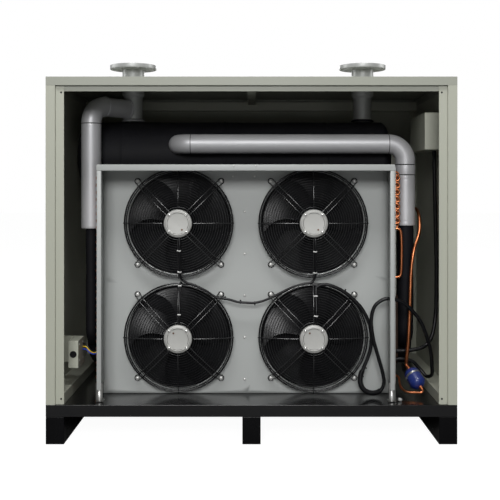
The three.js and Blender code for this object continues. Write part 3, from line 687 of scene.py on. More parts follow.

# Each hole's pressed rim: a rounded lip that rolls forward out of the panel and catches the light. Its
# colour is lighter and more metallic than the panel's coat, a painted highlight along the lip.
RIM_BACK, RIM_FRONT, RIM_OUT = PANEL_Y + 0.0015, PANEL_Y - 0.0118, FAN_HOLE + 0.0042
rim_profile = rounded_profile([
    (FAN_HOLE, RIM_BACK), (FAN_HOLE - 0.001, PANEL_Y - 0.006), (FAN_HOLE + 0.0005, RIM_FRONT),
    (FAN_HOLE + 0.0035, RIM_FRONT), (RIM_OUT, PANEL_Y - 0.004), (RIM_OUT, RIM_BACK), (FAN_HOLE, RIM_BACK),
], 0.0015)
# Lighter than the panel's coat: a painted highlight on the pressed lip.
rim_highlight_finish = finish_of("pressed_rim_painted_highlight", (0.55, 0.56, 0.55), 0.28, metallic=0.5, mottle=0.1, dust=0.02, scale=5)
piece_from_grids("fan_rims", [
    turned_grid(rim_profile, (x, 0, z), BACK, 96) for x, z in fan_centres.values()
], rim_highlight_finish)


def duct_wall(name, section, ends):
    """One folded wall of the duct, in sheet with slightly rounded edges."""
    wall = piece_from_grids(name, [folded_strip(section, ends)], shroud_coat, smooth=60)
    give_wall(wall, SHEET)
    edge = wall.modifiers.new("edge", "BEVEL")
    edge.width = 0.0004
    edge.segments = 2


for side, x, inward in (("left", DUCT_LEFT + HALF, 1), ("right", DUCT_RIGHT - HALF, -1)):
    lip = inward * (FRAME_DEPTH - HALF)
    fold = fold_section([(0, PANEL_Y - HALF), (0, DUCT_FRONT + HALF), (lip, DUCT_FRONT + HALF),
                         (lip, DUCT_FRONT + 0.014)])
    duct_wall(f"duct_side_{side}", [(x + a, b, 0) for a, b in fold],
              [(0, 0, DUCT_FOOT), (0, 0, DUCT_TOP - 0.0005)])
TOP_FRONT, TOP_LIP = DUCT_FRONT - 0.0006, -0.0265
fold = fold_section([(PANEL_Y - HALF, 0), (TOP_FRONT, 0), (TOP_FRONT, TOP_LIP),
                     (DUCT_FRONT + 0.013, TOP_LIP)])
duct_wall("duct_top", [(0, a, DUCT_TOP - HALF + b) for a, b in fold],
          [(DUCT_LEFT, 0, 0), (DUCT_RIGHT, 0, 0)])

FOOT_OUT, FOOT_IN, FOOT_TREAD, FOOT_SHEET, FOOT_Y = 0.004, 0.026, 0.052, 0.0025, DUCT_FRONT + 0.008
FOOT_Z = shroud_low[2] + 0.0015
zinc_plate = finish_of("zinc_plate", (0.52, 0.52, 0.50), 0.34, metallic=0.9, mottle=0.3, scale=30)
fold = fold_section([(0.0, DUCT_FOOT + 0.030), (0.0, FOOT_Z), (FOOT_TREAD, FOOT_Z)], 0.004)
for side, x0, x1 in (("left", DUCT_LEFT - FOOT_OUT, DUCT_LEFT + FOOT_IN),
                     ("right", DUCT_RIGHT - FOOT_IN, DUCT_RIGHT + FOOT_OUT)):
    strip = folded_strip([(0, FOOT_Y + b, c) for b, c in fold], [(x0, 0, 0), (x1, 0, 0)])
    foot = piece_from_grids(f"duct_foot_{side}", [strip], zinc_plate, smooth=60)
    give_wall(foot, FOOT_SHEET)


# ---- screws and bolts -----------------------------------------------------------------------------
# Zinc-plated pan and hexagon heads hold the panel, the fan guards and the feet. The posts' open screw
# holes are dark discs of painted shade. Each head is turned, and its foot sinks a fraction of a
# millimetre into the sheet.
def screw_grid(place, axis, radius, height):
    """A pan head: a low dome of revolution, radius falling as the square root of the height left."""
    rise = np.linspace(0, 1, 6)
    dome = zip(radius * np.sqrt(1 - rise ** 2 * 0.96), 0.0002 + height * rise)
    return turned_grid([(0, -0.0002), (radius, -0.0002), *dome, (0, height)], place, axis, 14)


def hexagon_grid(place, axis, radius, height):
    """A hexagon head: six sides, drawn in a little at its foot and its top."""
    profile = [(0, -0.0002), (radius * 0.9, -0.0002), (radius, 0.0004), (radius, height * 0.8),
               (radius * 0.88, height), (0, height)]
    return turned_grid(profile, place, axis, 6)


screw_zinc = finish_of("screw_zinc", (0.60, 0.60, 0.58), 0.42, metallic=0.55, mottle=0.3, dust=0.0, scale=90)
panel_screws = [screw_grid((mid_x - 0.006, PANEL_Y, z), FRONT, 0.0055, 0.003)
                for z in np.linspace(DUCT_FOOT + 0.010, 1.012, 5)]
panel_screws += [screw_grid((mid_x + dx, DUCT_FRONT - 0.0016, DUCT_TOP - 0.006), FRONT, 0.004, 0.0025)
                 for dx in (-0.052, 0.044)]
panel_screws += [screw_grid((mid_x + dx, PANEL_Y, 1.175), FRONT, 0.0045, 0.0025) for dx in (-0.060, 0.040)]
piece_from_grids("panel_screws", panel_screws, screw_zinc, smooth=50)
floor_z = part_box("base_tray")[1][2]
FOOT_BOLT_IN, FOOT_BOLT_Y = 0.012, DUCT_FRONT + 0.036
piece_from_grids("floor_bolts", [
    hexagon_grid((0.660, DUCT_FRONT + 0.030, floor_z + 0.004), (0.25, -0.25, 1), 0.010, 0.009),
    hexagon_grid((DUCT_LEFT + FOOT_BOLT_IN, FOOT_BOLT_Y, floor_z + 0.0035), UP, 0.008, 0.007),
    hexagon_grid((DUCT_RIGHT - FOOT_BOLT_IN, FOOT_BOLT_Y, floor_z + 0.0035), UP, 0.008, 0.007),
], screw_zinc, smooth=30)
# Dark discs on the front posts: painted shade standing for the dark insides of the open screw holes.
post_hole_painted_shade = finish_of("post_hole_painted_shade", (0.01, 0.01, 0.01), 0.8, mottle=0.1, dust=0.0)
post_low, post_high, _ = box_of("front_post_left")
piece_from_grids("post_screw_hole_shades", [
    screw_grid((x, post_high[1] - SHEET, z), FRONT, 0.0045, 0.0006)
    for x in (-0.8345, 0.8345) for z in (post_low[2] + 0.024, post_high[2] - 0.030)
], post_hole_painted_shade, smooth=50)

# ---- fan guards -----------------------------------------------------------------------------------
# Each guard is a shallow dish of welded steel wire, dipped black: close rings, a heavier rim, single
# wires up, down and across, and pairs of struts on the diagonals that end in eyes round the fixing screws.
GUARD_RIM, GUARD_EYE, GUARD_CENTRE = 0.2472, 0.272, 0.074
RIM_Y, NOSE_Y, EYE_Y = -0.320, -0.358, -0.2785
STRUT_FOOT, STRUT_PROUD, STRUT_GAP, EYE_R = 0.060, 0.003, 0.0105, 0.0125
QUARTERS = np.arange(4) * math.pi / 2
DIAGONALS = math.pi / 4 + QUARTERS


def dish_y(radius):
    """How far forward the dish stands: straight slope from the rim, easing off near the middle."""
    share = (GUARD_RIM - radius) / (GUARD_RIM - GUARD_CENTRE)
    return RIM_Y + (NOSE_Y - RIM_Y) * np.sin(np.clip(share, 0, 1) * np.pi / 2) ** 0.9


def wire_ring(centre, radius, y, wire, sides=8, steps=96):
    """A round wire bent to a circle: a small circle of the wire's radius turned about the fan's axis."""
    angle = np.linspace(0, 2 * np.pi, sides + 1)
    profile = np.stack([radius + wire * np.cos(angle), wire * np.sin(angle)], axis=-1)
    return turned_grid(profile, (centre[0], y, centre[1]), BACK, steps)


def spoke_line(centre, turn, start, stop, offset=0.0):
    """A wire laid on the dish along one direction, shifted sideways by the offset."""
    radius = np.linspace(start, stop, 12)
    along = np.array([math.cos(turn), math.sin(turn)])
    across = np.array([-along[1], along[0]])
    flat = np.array(centre) + radius[:, None] * along + offset * across
    return np.stack([flat[:, 0], dish_y(radius) - STRUT_PROUD, flat[:, 1]], axis=-1)


def eye_line(centre, turn):
    """A strut pair is one wire: out along the dish, down to the panel, round the screw, and back."""
    out = spoke_line(centre, turn, STRUT_FOOT, GUARD_RIM, STRUT_GAP)
    along = np.array([math.cos(turn), 0, math.sin(turn)])
    across = np.array([-math.sin(turn), 0, math.cos(turn)])
    middle = np.array([centre[0], EYE_Y, centre[1]]) + along * GUARD_EYE
    swing = np.linspace(0.62 * np.pi, -0.62 * np.pi, 15)[:, None]
    eye = middle + EYE_R * (np.cos(swing) * along + np.sin(swing) * across)
    back = spoke_line(centre, turn, STRUT_FOOT, GUARD_RIM, -STRUT_GAP)[::-1]
    return np.concatenate([out, eye, back])


def diagonal_places(centre, reach, y):
    """The four places on a fan's diagonals at a reach from its axis."""
    x, z = centre
    return [(x + reach * math.cos(turn), y, z + reach * math.sin(turn)) for turn in DIAGONALS]


black_wire = finish_of("black_dipped_wire", (0.003, 0.003, 0.004), 0.24, gloss=0.42, mottle=0.4, dust=0.002,
                       scale=20)
bright_wire = finish_of("strut_wire", (0.010, 0.010, 0.011), 0.20, mottle=0.3, dust=0.002, scale=20,
                        coat=0.9)
guard_rings = [(radius, 0.0016, 6) for radius in np.linspace(GUARD_CENTRE + 0.0105, GUARD_RIM - 0.019, 14)]
guard_rings += [(GUARD_RIM, 0.0038, 8), (GUARD_RIM - 0.0085, 0.0028, 8), (GUARD_CENTRE, 0.0026, 8)]
for name, centre in fan_centres.items():
    struts = []
    for straight, diagonal in zip(QUARTERS, DIAGONALS):
        struts.append(swept_grid(spoke_line(centre, straight, 0.070, GUARD_RIM + 0.006), 0.0024, 10))
        struts.append(swept_grid(eye_line(centre, diagonal), 0.0026, 10))
    piece_from_grids(f"guard_struts_{name}", struts, bright_wire, smooth=60)
    wires = [wire_ring(centre, radius, dish_y(radius), wire, sides) for radius, wire, sides in guard_rings]
    piece_from_grids(f"wire_guard_{name}", wires, black_wire, smooth=60,
                     node=f"fan_guard_{name}")
    eyes = []
    for place in diagonal_places(centre, GUARD_EYE + 0.0005, EYE_Y - 0.003):
        eyes.append(screw_grid(place, FRONT, 0.0098, 0.0046))
        eyes.append(turned_grid(solid_profile(0.0055, 0, 0.009), place, BACK, 12))
    piece_from_grids(f"guard_screws_{name}", eyes, screw_zinc, smooth=50)

# ---- motor end covers -----------------------------------------------------------------------------
# Die-cast aluminium end cover with a raised rim, four bolt lugs on the strut diagonals, and a small
# bronze plug. The lower motors are turned half round. The casting is bead-blasted and slightly sparkly.
cast_alloy = finish_of("bead_blasted_casting", (0.45, 0.45, 0.43), 0.46, metallic=0.25, mottle=0.12,
                       dust=0.05, scale=40, grain=900, depth=0.00045)
lug_alloy = finish_of("bright_bolt", (0.78, 0.78, 0.76), 0.22, metallic=0.9, dust=0.0, scale=90)
groove_shade = finish_of("groove_shade", (0.07, 0.07, 0.065), 0.6, mottle=0.3, dust=0.0, scale=60)
plug_bronze = finish_of("plug_bronze", (0.14, 0.08, 0.05), 0.4, metallic=0.7, dust=0.0, scale=60)
LUG_IN, ARC_R, ARC_GAP, ARC_STEPS = 0.0095, 0.0478, 0.30, 20
PLUG_X, PLUG_Z, DISH = 0.019, -0.028, 0.0016
lug_profile = rounded_profile(solid_profile(0.0092, 0.0005, 0.020), 0.0012, 3)
for name, centre in fan_centres.items():
    low, high, _ = box_of(f"fan_motor_{name}")
    front = low[1] + 0.005
    radius = (high[0] - low[0]) / 2
    outline = rounded_profile([
        (0, front + DISH), (radius - 0.016, front + DISH), (radius - 0.0145, front), (radius - 0.010, front),
        (radius - 0.0085, front + 0.003), (radius - 0.003, front + 0.0045), (radius, front + 0.009),
        (radius, high[1]), (0, high[1]),
    ], 0.0016)
    lugs = diagonal_places(centre, radius - LUG_IN, front)
    grooves = []
    for turn in DIAGONALS:
        swing = np.linspace(ARC_GAP, math.pi / 2 - ARC_GAP, ARC_STEPS) + turn
        arc = np.stack([centre[0] + ARC_R * np.cos(swing), np.full(ARC_STEPS, front + 0.0013),
                        centre[1] + ARC_R * np.sin(swing)], axis=-1)
        grooves.append(swept_grid(arc, 0.0011, 6))
    piece_from_grids(f"motor_grooves_{name}", grooves, groove_shade)
    upright_way = 1 if name.startswith("top") else -1
    plug = (centre[0] + PLUG_X * upright_way, front + DISH, centre[1] + PLUG_Z * upright_way)
    piece_from_grids(f"motor_plug_{name}", [hexagon_grid(plug, FRONT, 0.0046, 0.0024)], plug_bronze,
                     smooth=30)
    cover = [turned_grid(outline, (centre[0], 0, centre[1]), BACK, 72)]
    cover += [turned_grid(lug_profile, lug + FRONT * 0.0012, BACK, 24) for lug in lugs]
    piece_from_grids(f"motor_cover_{name}", cover, cast_alloy, node=f"fan_motor_{name}")
    bolts = [screw_grid(lug + FRONT * 0.0008, FRONT, 0.0058, 0.0038) for lug in lugs]
    piece_from_grids(f"motor_bolts_{name}", bolts, lug_alloy, smooth=40)

# ---- fan rotors -----------------------------------------------------------------------------------
# An external-rotor motor can with five sickle blades pressed from black steel, riveted round it.
# Each blade is pitched, cambered and swept forward, and its tip follows the pressed rim closely.
BLADES, BLADE_Y, BLADE_SHEET = 5, -0.296, 0.0018
CAN_RADIUS, TIP_RADIUS, ROOT_DEPTH = 0.0595, 0.2275, 0.003
SWEEP, CHORD, TAPER, WAIST, CORNER_DRAW = 0.42, 1.02, 0.18, 0.10, 0.06
ROOT_PITCH, PITCH_LOSS, CAMBER = 0.048, 0.012, 0.004


def blade_grid(centre, turn):
    """One blade as a closed sheet: over radius u and chord v, angle = turn + sweep * u squared
    + chord angle * (v - 1/2), depth = pitch * (1/2 - v), less towards the tip, plus a camber of
    4 v (1 - v). The far side is the near side moved along Y, and border strips join them."""
    u = np.linspace(0, 1, 18)[:, None]
    v = np.linspace(0, 1, 16)[None, :]
    radius = CAN_RADIUS - ROOT_DEPTH + (TIP_RADIUS - CAN_RADIUS + ROOT_DEPTH) * u
    chord = CHORD * (1 - TAPER * u) * (1 - WAIST * np.sin(np.pi * u))
    angle = turn + SWEEP * u ** 2 + chord * (v - 0.5) * (1 - CORNER_DRAW * (2 * v - 1) ** 2)
    y = BLADE_Y + (0.5 - v) * (ROOT_PITCH - PITCH_LOSS * u) - CAMBER * 4 * v * (1 - v) * u
    middle = np.stack([centre[0] + radius * np.cos(angle), y, centre[1] + radius * np.sin(angle)], axis=-1)
    half = BACK * BLADE_SHEET / 2
    return np.concatenate([middle - half, middle[:, ::-1] + half], axis=1), True, True


blade_black = finish_of("blade_black", (0.004, 0.004, 0.005), 0.34, gloss=0.40, mottle=0.5, dust=0.0,
                        scale=12, depth=0.00006)
for name, centre in fan_centres.items():
    low, high, _ = box_of(f"fan_rotor_{name}")
    can = rounded_profile([
        (0, low[1]), (CAN_RADIUS - 0.006, low[1]), (CAN_RADIUS, low[1] + 0.006),
        (CAN_RADIUS, high[1] - 0.008), (CAN_RADIUS - 0.010, high[1]), (0, high[1]),
    ], 0.003)
    grids = [turned_grid(can, (centre[0], 0, centre[1]), BACK, 56)]
    grids += [blade_grid(centre, 2 * math.pi * i / BLADES) for i in range(BLADES)]
    rotor = piece_from_grids(f"bladed_rotor_{name}", grids, blade_black, body=f"fan_rotor_body_{name}",
                             smooth=45, node=f"fan_rotor_{name}")
    face_outwards(rotor)


# ---- condenser ------------------------------------------------------------------------------------
# Copper tubes pressed through hundreds of upright aluminium fins between two zinc-plated end plates.
# The tubes' return bends stand out of the end plates, row above row.
def dress(node, material):
    """A CAD solid shown as it is, in a finish."""
    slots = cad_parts[node].data.materials
    slots.clear()
    slots.append(material)


FIN_PITCH, FIN_RELIEF = 0.0028, 0.0012
# The fins are coloured near black though they are bare aluminium: painted shade for the dark duct behind the
# fans.
fins = finish_of("coil_fins", (0.016, 0.016, 0.018), 0.5, gloss=0.15, mottle=0.5, dust=0.004, scale=4)
tree = fins.node_tree
place = add_node(tree, "SeparateXYZ", {0: add_node(tree, "TexCoord").outputs["Object"]})
wave = arithmetic(tree, "SINE", arithmetic(tree, "MULTIPLY", place.outputs["X"], 2 * math.pi / FIN_PITCH))
ridges = add_node(tree, "Bump", {"Distance": FIN_RELIEF, "Height": wave})
feed(tree, tree.nodes["Principled BSDF"], {"Normal": ridges.outputs["Normal"]})
dress("condenser_coil", fins)
for side in ("left", "right"):
    folded_copy(f"condenser_end_plate_{side}", zinc_plate, 0.0004)
copper = finish_of("copper_tube", (0.58, 0.20, 0.085), 0.34, metallic=1.0, mottle=0.55, dust=0.05, scale=22,
                   grain=300, depth=0.00005)
coil_low, coil_high, _ = box_of("condenser_coil")
left_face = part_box("condenser_end_plate_left")[0][0]
right_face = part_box("condenser_end_plate_right")[1][0]
TUBE, BEND_R, PITCH_UP, BEND_STEPS = 0.0048, 0.0127, 0.033, 13
REACH_FULL, REACH_SHORT, OPEN_ABOVE = 0.007, 0.002, 0.95


def return_bend(x, sign, y, z, reach):
    """A hairpin: half a circle of the tube between two short straight ends in the end plate."""
    swing = np.linspace(-np.pi / 2, np.pi / 2, BEND_STEPS)
    arc = np.stack([x + sign * (reach + BEND_R * np.cos(swing)), np.full(BEND_STEPS, y),
                    z + BEND_R * np.sin(swing)], axis=-1)
    stub_low = [[x + sign * 0.0004, y, z - BEND_R]]
    stub_high = [[x + sign * 0.0004, y, z + BEND_R]]
    return swept_grid(np.concatenate([stub_low, arc, stub_high]), TUBE, 12)


bends = []
for row, depth in enumerate((0.012, 0.038, 0.063)):
    y = coil_low[1] + depth
    stagger = PITCH_UP / 2 * (row % 2)
    for z in np.arange(coil_low[2] + 0.03 + stagger, coil_high[2] - 0.02, PITCH_UP):
        if row < 2:
            bends.append(return_bend(left_face, -1, y, z, REACH_FULL))
        if z > OPEN_ABOVE:
            bends.append(return_bend(right_face, 1, y, z, REACH_SHORT if row == 2 else REACH_FULL))
piece_from_grids("coil_return_bends", bends, copper, smooth=60)
HEADER_Y, HEADER_OUT, HEADER_HIGH, HEADER_LOW = -0.196, 0.016, 0.620, 0.300
HEADER_R, HEADER_BEND = 0.0068, 0.012
plate_x = right_face + 0.0004
header_x = right_face + HEADER_OUT
header_line = bent_line([(plate_x, HEADER_Y, HEADER_HIGH), (header_x, HEADER_Y, HEADER_HIGH),
                         (header_x, HEADER_Y, HEADER_LOW), (plate_x, HEADER_Y, HEADER_LOW)],
                        HEADER_BEND, 10, 5)
# The header's copper is coloured near black: painted shade for the shadowed lower end of the coil behind the
# shroud's side.
copper_painted_shade = finish_of("copper_painted_shade", (0.05, 0.028, 0.02), 0.5, metallic=0.6, mottle=0.5, dust=0.05,
                         scale=22)
piece_from_grids("coil_header", [swept_grid(header_line, HEADER_R, 20)], copper_painted_shade,
                 node="condenser_header")


# ---- refrigerant side -----------------------------------------------------------------------------
# A welded compressor can and a liquid receiver at the back, a sealed blue filter drier at the front
# right, and soft copper lines brazed between them.
def turned_tank(name, node, shape):
    """A tank turned about the upright through the node's middle, its shape measured from its foot."""
    low, _, middle = box_of(node)
    tank = turned_grid(rounded_profile(shape, 0.012, 6), (middle[0], middle[1], low[2]), UP, 56)
    piece_from_grids(name, [tank], skid_black, node=node)


turned_tank("compressor_can", "compressor", [
    (0, 0), (0.112, 0), (0.112, 0.010), (0.094, 0.012), (0.104, 0.060), (0.104, 0.200), (0.1055, 0.206),
    (0.104, 0.212), (0.104, 0.350), (0.080, 0.395), (0, 0.4045),
])
turned_tank("receiver_can", "liquid_receiver", [
    (0, 0), (0.070, 0), (0.070, 0.007), (0.050, 0.009), (0.062, 0.040), (0.062, 0.180), (0.0632, 0.186),
    (0.062, 0.192), (0.062, 0.360), (0.036, 0.392), (0, 0.3995),
])

DRIER = np.array([0.748, -0.312, 0.250])
DRIER_AXIS = unit([-0.35, 0.72, 0.60])
DRIER_R, NECK_END = 0.0355, 0.0635
blue_paint = finish_of("drier_blue", (0.010, 0.024, 0.15), 0.30, mottle=0.45, dust=0.08, scale=18, coat=0.3,
                       grain=400, depth=0.00008)


def drier_point(distance):
    """A place on the drier's axis, at a distance from its middle."""
    return DRIER + DRIER_AXIS * distance


def band_profile(inner, outer, half_width):
    """The outline of a flat band round a cylinder."""
    return [(inner, -half_width), (outer, -half_width), (outer, half_width), (inner, half_width),
            (inner, -half_width)]


shell = rounded_profile([
    (0, -0.052), (0.012, -0.052), (0.023, -0.047), (DRIER_R, -0.034), (DRIER_R, 0.034), (0.023, 0.047),
    (0.012, 0.052), (0, 0.052),
], 0.008, 6)
piece_from_grids("filter_drier_shell", [
    turned_grid(shell, DRIER, DRIER_AXIS, 56),
    weld_ring(drier_point(-0.026), DRIER_AXIS, DRIER_R, 0.0016),
], blue_paint, node="filter_drier")
piece_from_grids("filter_drier_necks", [
    turned_grid(solid_profile(0.0088, 0, 0.013), drier_point(way * 0.0505), DRIER_AXIS * way, 24)
    for way in (-1, 1)
], copper)
strap_middle = drier_point(0.014)
piece_from_grids("filter_drier_strap", [
    turned_grid(band_profile(DRIER_R, DRIER_R + 0.0014, 0.005), strap_middle, DRIER_AXIS, 56),
    hexagon_grid(strap_middle + np.array([-0.034, -0.020, -0.006]), (-0.6, -0.8, -0.1), 0.0045, 0.006),
], zinc_plate)


def routed_line(points, count):
    """A smooth curve through given points: centripetal Catmull-Rom, each stretch blended from
    its four nearest points with knots spaced by the square root of the distance between them."""
    points = np.array(points, float)
    ends = np.concatenate([[2 * points[0] - points[1]], points, [2 * points[-1] - points[-2]]])
    out = []
    for p0, p1, p2, p3 in zip(ends[:-3], ends[1:-2], ends[2:-1], ends[3:]):
        t0 = 0.0
        t1 = t0 + np.linalg.norm(p1 - p0) ** 0.5
        t2 = t1 + np.linalg.norm(p2 - p1) ** 0.5
        t3 = t2 + np.linalg.norm(p3 - p2) ** 0.5
        t = np.linspace(t1, t2, 24, endpoint=False)[:, None]
        a1 = (t1 - t) / (t1 - t0) * p0 + (t - t0) / (t1 - t0) * p1
        a2 = (t2 - t) / (t2 - t1) * p1 + (t - t1) / (t2 - t1) * p2
        a3 = (t3 - t) / (t3 - t2) * p2 + (t - t2) / (t3 - t2) * p3
        b1 = (t2 - t) / (t2 - t0) * a1 + (t - t0) / (t2 - t0) * a2
        b2 = (t3 - t) / (t3 - t1) * a2 + (t - t1) / (t3 - t1) * a3
        out.append((t2 - t) / (t2 - t1) * b1 + (t - t1) / (t2 - t1) * b2)
    dense = np.concatenate([*out, points[-1:]])
    travelled = np.concatenate([[0], np.cumsum(np.linalg.norm(np.diff(dense, axis=0), axis=1))])
    even = np.linspace(0, travelled[-1], count)
    return np.stack([np.interp(even, travelled, dense[:, k]) for k in range(3)], axis=-1)


def copper_line(name, node, points, radius, count=90):
    """Soft copper tube: a round section swept along a smooth route."""
    line = routed_line(points, count)
    piece_from_grids(name, [swept_grid(line, radius, 20)], copper, node=node)


copper_line("liquid_tube", "liquid_line", [
    (0.600, 0.350, 0.574), (0.600, 0.345, 0.700), (0.650, 0.230, 0.860), (0.735, 0.040, 0.985),
    (0.786, -0.080, 1.025), (0.795, -0.150, 1.000), (0.789, -0.205, 0.920), (0.757, -0.243, 0.835),
    (0.742, -0.254, 0.742), (0.733, -0.264, 0.562), (0.726, -0.268, 0.420), (0.720, -0.261, 0.342),
    drier_point(0.082), drier_point(NECK_END + 0.0004),
], 0.0078, 160)
copper_line("discharge_tube", "discharge_line", [
    (0.669, -0.236, 0.932), (0.678, -0.237, 0.932), (0.692, -0.238, 0.926), (0.697, -0.238, 0.905),
    (0.697, -0.238, 0.735), (0.692, -0.238, 0.712), (0.678, -0.237, 0.706), (0.669, -0.236, 0.706),
], 0.0068)
copper_line("expansion_tube", "expansion_line", [
    drier_point(-NECK_END - 0.0004), drier_point(-0.074), (0.768, -0.372, 0.199), (0.745, -0.364, 0.196),
    (0.705, -0.348, 0.196), (0.686, -0.322, 0.206), (0.682, -0.286, 0.225), (0.684, -0.255, 0.241),
    (0.677, -0.236, 0.246), (0.669, -0.236, 0.246),
], 0.0052)

# ---- condensate drain -----------------------------------------------------------------------------
# A small brass ball valve under the lower vessel, its machined edges broken by a narrow bevel, with a
# red dipped lever on its spindle that turns a quarter.
brass = finish_of("machined_brass", (0.62, 0.42, 0.14), 0.26, metallic=1.0, mottle=0.3, scale=40)
lever_red = finish_of("lever_red", (0.45, 0.02, 0.015), 0.30, dust=0.05, scale=30, coat=0.3)
folded_copy("drain_valve", brass, 0.0006)
dress("drain_lever", lever_red)

# ---- electrical boxes -----------------------------------------------------------------------------
# Folded sheet boxes in the cabinet's finish. The junction box has a knock-out ringed by a black
# grommet, and a few coloured wires come out of its side.
for node in ("control_box", "junction_box"):
    folded_copy(node, beige_coat, 0.0015)
jacket = finish_of("cable_jacket", (0.004, 0.004, 0.005), 0.36, gloss=0.20, mottle=0.4, dust=0.008, scale=14,
                   grain=700, depth=0.00005, coat=0.15)
junction_low, junction_high, _ = box_of("junction_box")
KNOCKOUT_X, KNOCKOUT_Z, KNOCKOUT_R = -0.809, 0.366, 0.0135
knockout = (KNOCKOUT_X, junction_low[1], KNOCKOUT_Z)
piece_from_grids("knockout_grommet", [
    wire_ring((KNOCKOUT_X, KNOCKOUT_Z), KNOCKOUT_R, junction_low[1] - 0.0005, 0.0022, 10, 40),
    turned_grid(solid_profile(KNOCKOUT_R, 0, 0.0016), knockout, FRONT, 32),
], jacket)
piece_from_grids("box_screws", [
    screw_grid((junction_high[0], junction_low[1] + y, z), RIGHT, 0.0045, 0.003)
    for y in (0.03, 0.11) for z in (junction_low[2] + 0.03, junction_high[2] - 0.02)
], screw_zinc, smooth=50)
wire_colours = {"blue": (0.02, 0.06, 0.55), "yellow": (0.75, 0.50, 0.03), "black": (0.01, 0.01, 0.01)}
for step, (colour, value) in enumerate(wire_colours.items()):
    pvc = finish_of(f"wire_{colour}", value, 0.35, dust=0.0, scale=30)
    rise = 0.012 * step
    line = routed_line([
        (-0.7858, -0.240, 0.372 + rise), (-0.770, -0.243, 0.370 + rise),
        (-0.750, -0.250, 0.356 + rise * 0.6), (-0.728, -0.262, 0.352 + rise * 0.5),
        (-0.706, -0.272, 0.366 + rise * 0.4), (-0.6862, -0.280, 0.372 + rise * 0.3),
    ], 40)
    piece_from_grids(f"junction_wire_{colour}", [swept_grid(line, 0.0026, 10)], pvc)


# ---- cables ---------------------------------------------------------------------------------------
# Black jacketed leads, all held at both ends. Each motor's lead is tied along its guard; they join in a
# bundle that loops near the floor, in corrugated tube, and goes through the shroud's side to the coil.
def cable(name, node, line, radius, sleeves=()):
    """A jacketed lead: a round section swept along its line, with any sleeves on it."""
    piece_from_grids(name, [swept_grid(line, radius, 18), *sleeves], jacket, node=node)


def motor_lead(name, way, aside):
    """The stretch from a cover's edge, up over the guard's inner rings and along its dish to the rim."""
    path = [(0, -0.360, 0.0648), (0, -0.361, 0.069), (0.001, -0.368, 0.080), (0.002, -0.372, 0.095),
            (0.002, -0.371, 0.112), (0.002, -0.367, 0.137), (0.002, -0.361, 0.161), (0.002, -0.354, 0.186),
            (0.002, -0.346, 0.211), (0.003, -0.340, 0.233)]
    x, z = fan_centres[name]
    return [(x + aside + shift, y, z + way * out) for shift, y, out in path]


def tie_grids(line, station, radius, side):
    """A cable tie: a flat band round the line at one station, and its square head out to one side."""
    station = int(station * (len(line) - 1))
    ahead = unit(line[station + 1] - line[station - 1])
    outward = unit(np.array(side, float) - (np.array(side, float) @ ahead) * ahead)
    head = line[station] + outward * np.array([[radius], [radius + 0.006]])
    band = band_profile(radius, radius + 0.0013, 0.0022)
    return [turned_grid(band, line[station], ahead, 20), swept_grid(head, 0.0032, 4)]


LEAD_Y = -0.336
upper_line = routed_line([
    *motor_lead("top_left", -1, 0.006),
    (-0.320, LEAD_Y, 0.708), (-0.300, LEAD_Y, 0.693), (-0.255, LEAD_Y, 0.676), (-0.205, LEAD_Y, 0.652),
    (-0.165, LEAD_Y, 0.626), (-0.103, LEAD_Y, 0.614), (-0.066, LEAD_Y, 0.603), (-0.027, LEAD_Y, 0.599),
    (0.010, LEAD_Y, 0.598), (0.046, LEAD_Y, 0.605), (0.083, LEAD_Y, 0.619), (0.112, LEAD_Y, 0.633),
    (0.157, LEAD_Y, 0.656), (0.196, LEAD_Y, 0.673), (0.240, LEAD_Y, 0.685), (0.270, LEAD_Y, 0.690),
    (0.284, LEAD_Y, 0.703), *motor_lead("top_right", -1, 0.006)[::-1],
], 260)
cable("upper_fan_lead", "fan_cable_upper", upper_line, 0.0055)
left_line = routed_line([
    *motor_lead("bottom_left", 1, 0.006), (-0.323, LEAD_Y, 0.686), (-0.318, LEAD_Y, 0.694),
], 70)
cable("bottom_left_lead", "fan_cable_bottom_left", left_line, 0.0045)
lower_line = routed_line([
    *motor_lead("bottom_right", 1, 0.009),
    (0.297, LEAD_Y - 0.005, 0.669), (0.312, LEAD_Y - 0.002, 0.679), (0.338, LEAD_Y, 0.682),
    (0.368, LEAD_Y, 0.675), (0.408, LEAD_Y, 0.657), (0.444, LEAD_Y, 0.632), (0.476, LEAD_Y, 0.602),
    (0.501, LEAD_Y, 0.573),
    (0.536, LEAD_Y, 0.504), (0.546, LEAD_Y, 0.435), (0.538, LEAD_Y, 0.375), (0.511, LEAD_Y - 0.004, 0.306),
    (0.496, LEAD_Y - 0.008, 0.268), (0.496, LEAD_Y - 0.012, 0.229), (0.516, LEAD_Y - 0.016, 0.201),
    (0.553, LEAD_Y - 0.018, 0.192), (0.586, LEAD_Y - 0.018, 0.205), (0.600, LEAD_Y - 0.018, 0.237),
    (0.596, LEAD_Y - 0.018, 0.276), (0.574, LEAD_Y - 0.020, 0.356), (0.552, LEAD_Y - 0.022, 0.435),
    (0.542, LEAD_Y - 0.024, 0.524), (0.558, LEAD_Y - 0.025, 0.586), (0.596, LEAD_Y - 0.025, 0.616),
    (0.635, LEAD_Y - 0.025, 0.620), (0.685, LEAD_Y - 0.020, 0.602), (0.730, LEAD_Y - 0.010, 0.564),
    (0.769, LEAD_Y, 0.515), (0.799, LEAD_Y + 0.010, 0.445), (0.820, LEAD_Y + 0.022, 0.376),
    (0.829, LEAD_Y + 0.036, 0.306), (0.832, -0.275, 0.258), (0.814, -0.242, 0.246), (0.790, -0.227, 0.272),
    (0.752, -0.224, 0.310), (0.710, -0.224, 0.322), (0.676, -0.224, 0.322), (0.669, -0.224, 0.322),
], 620)
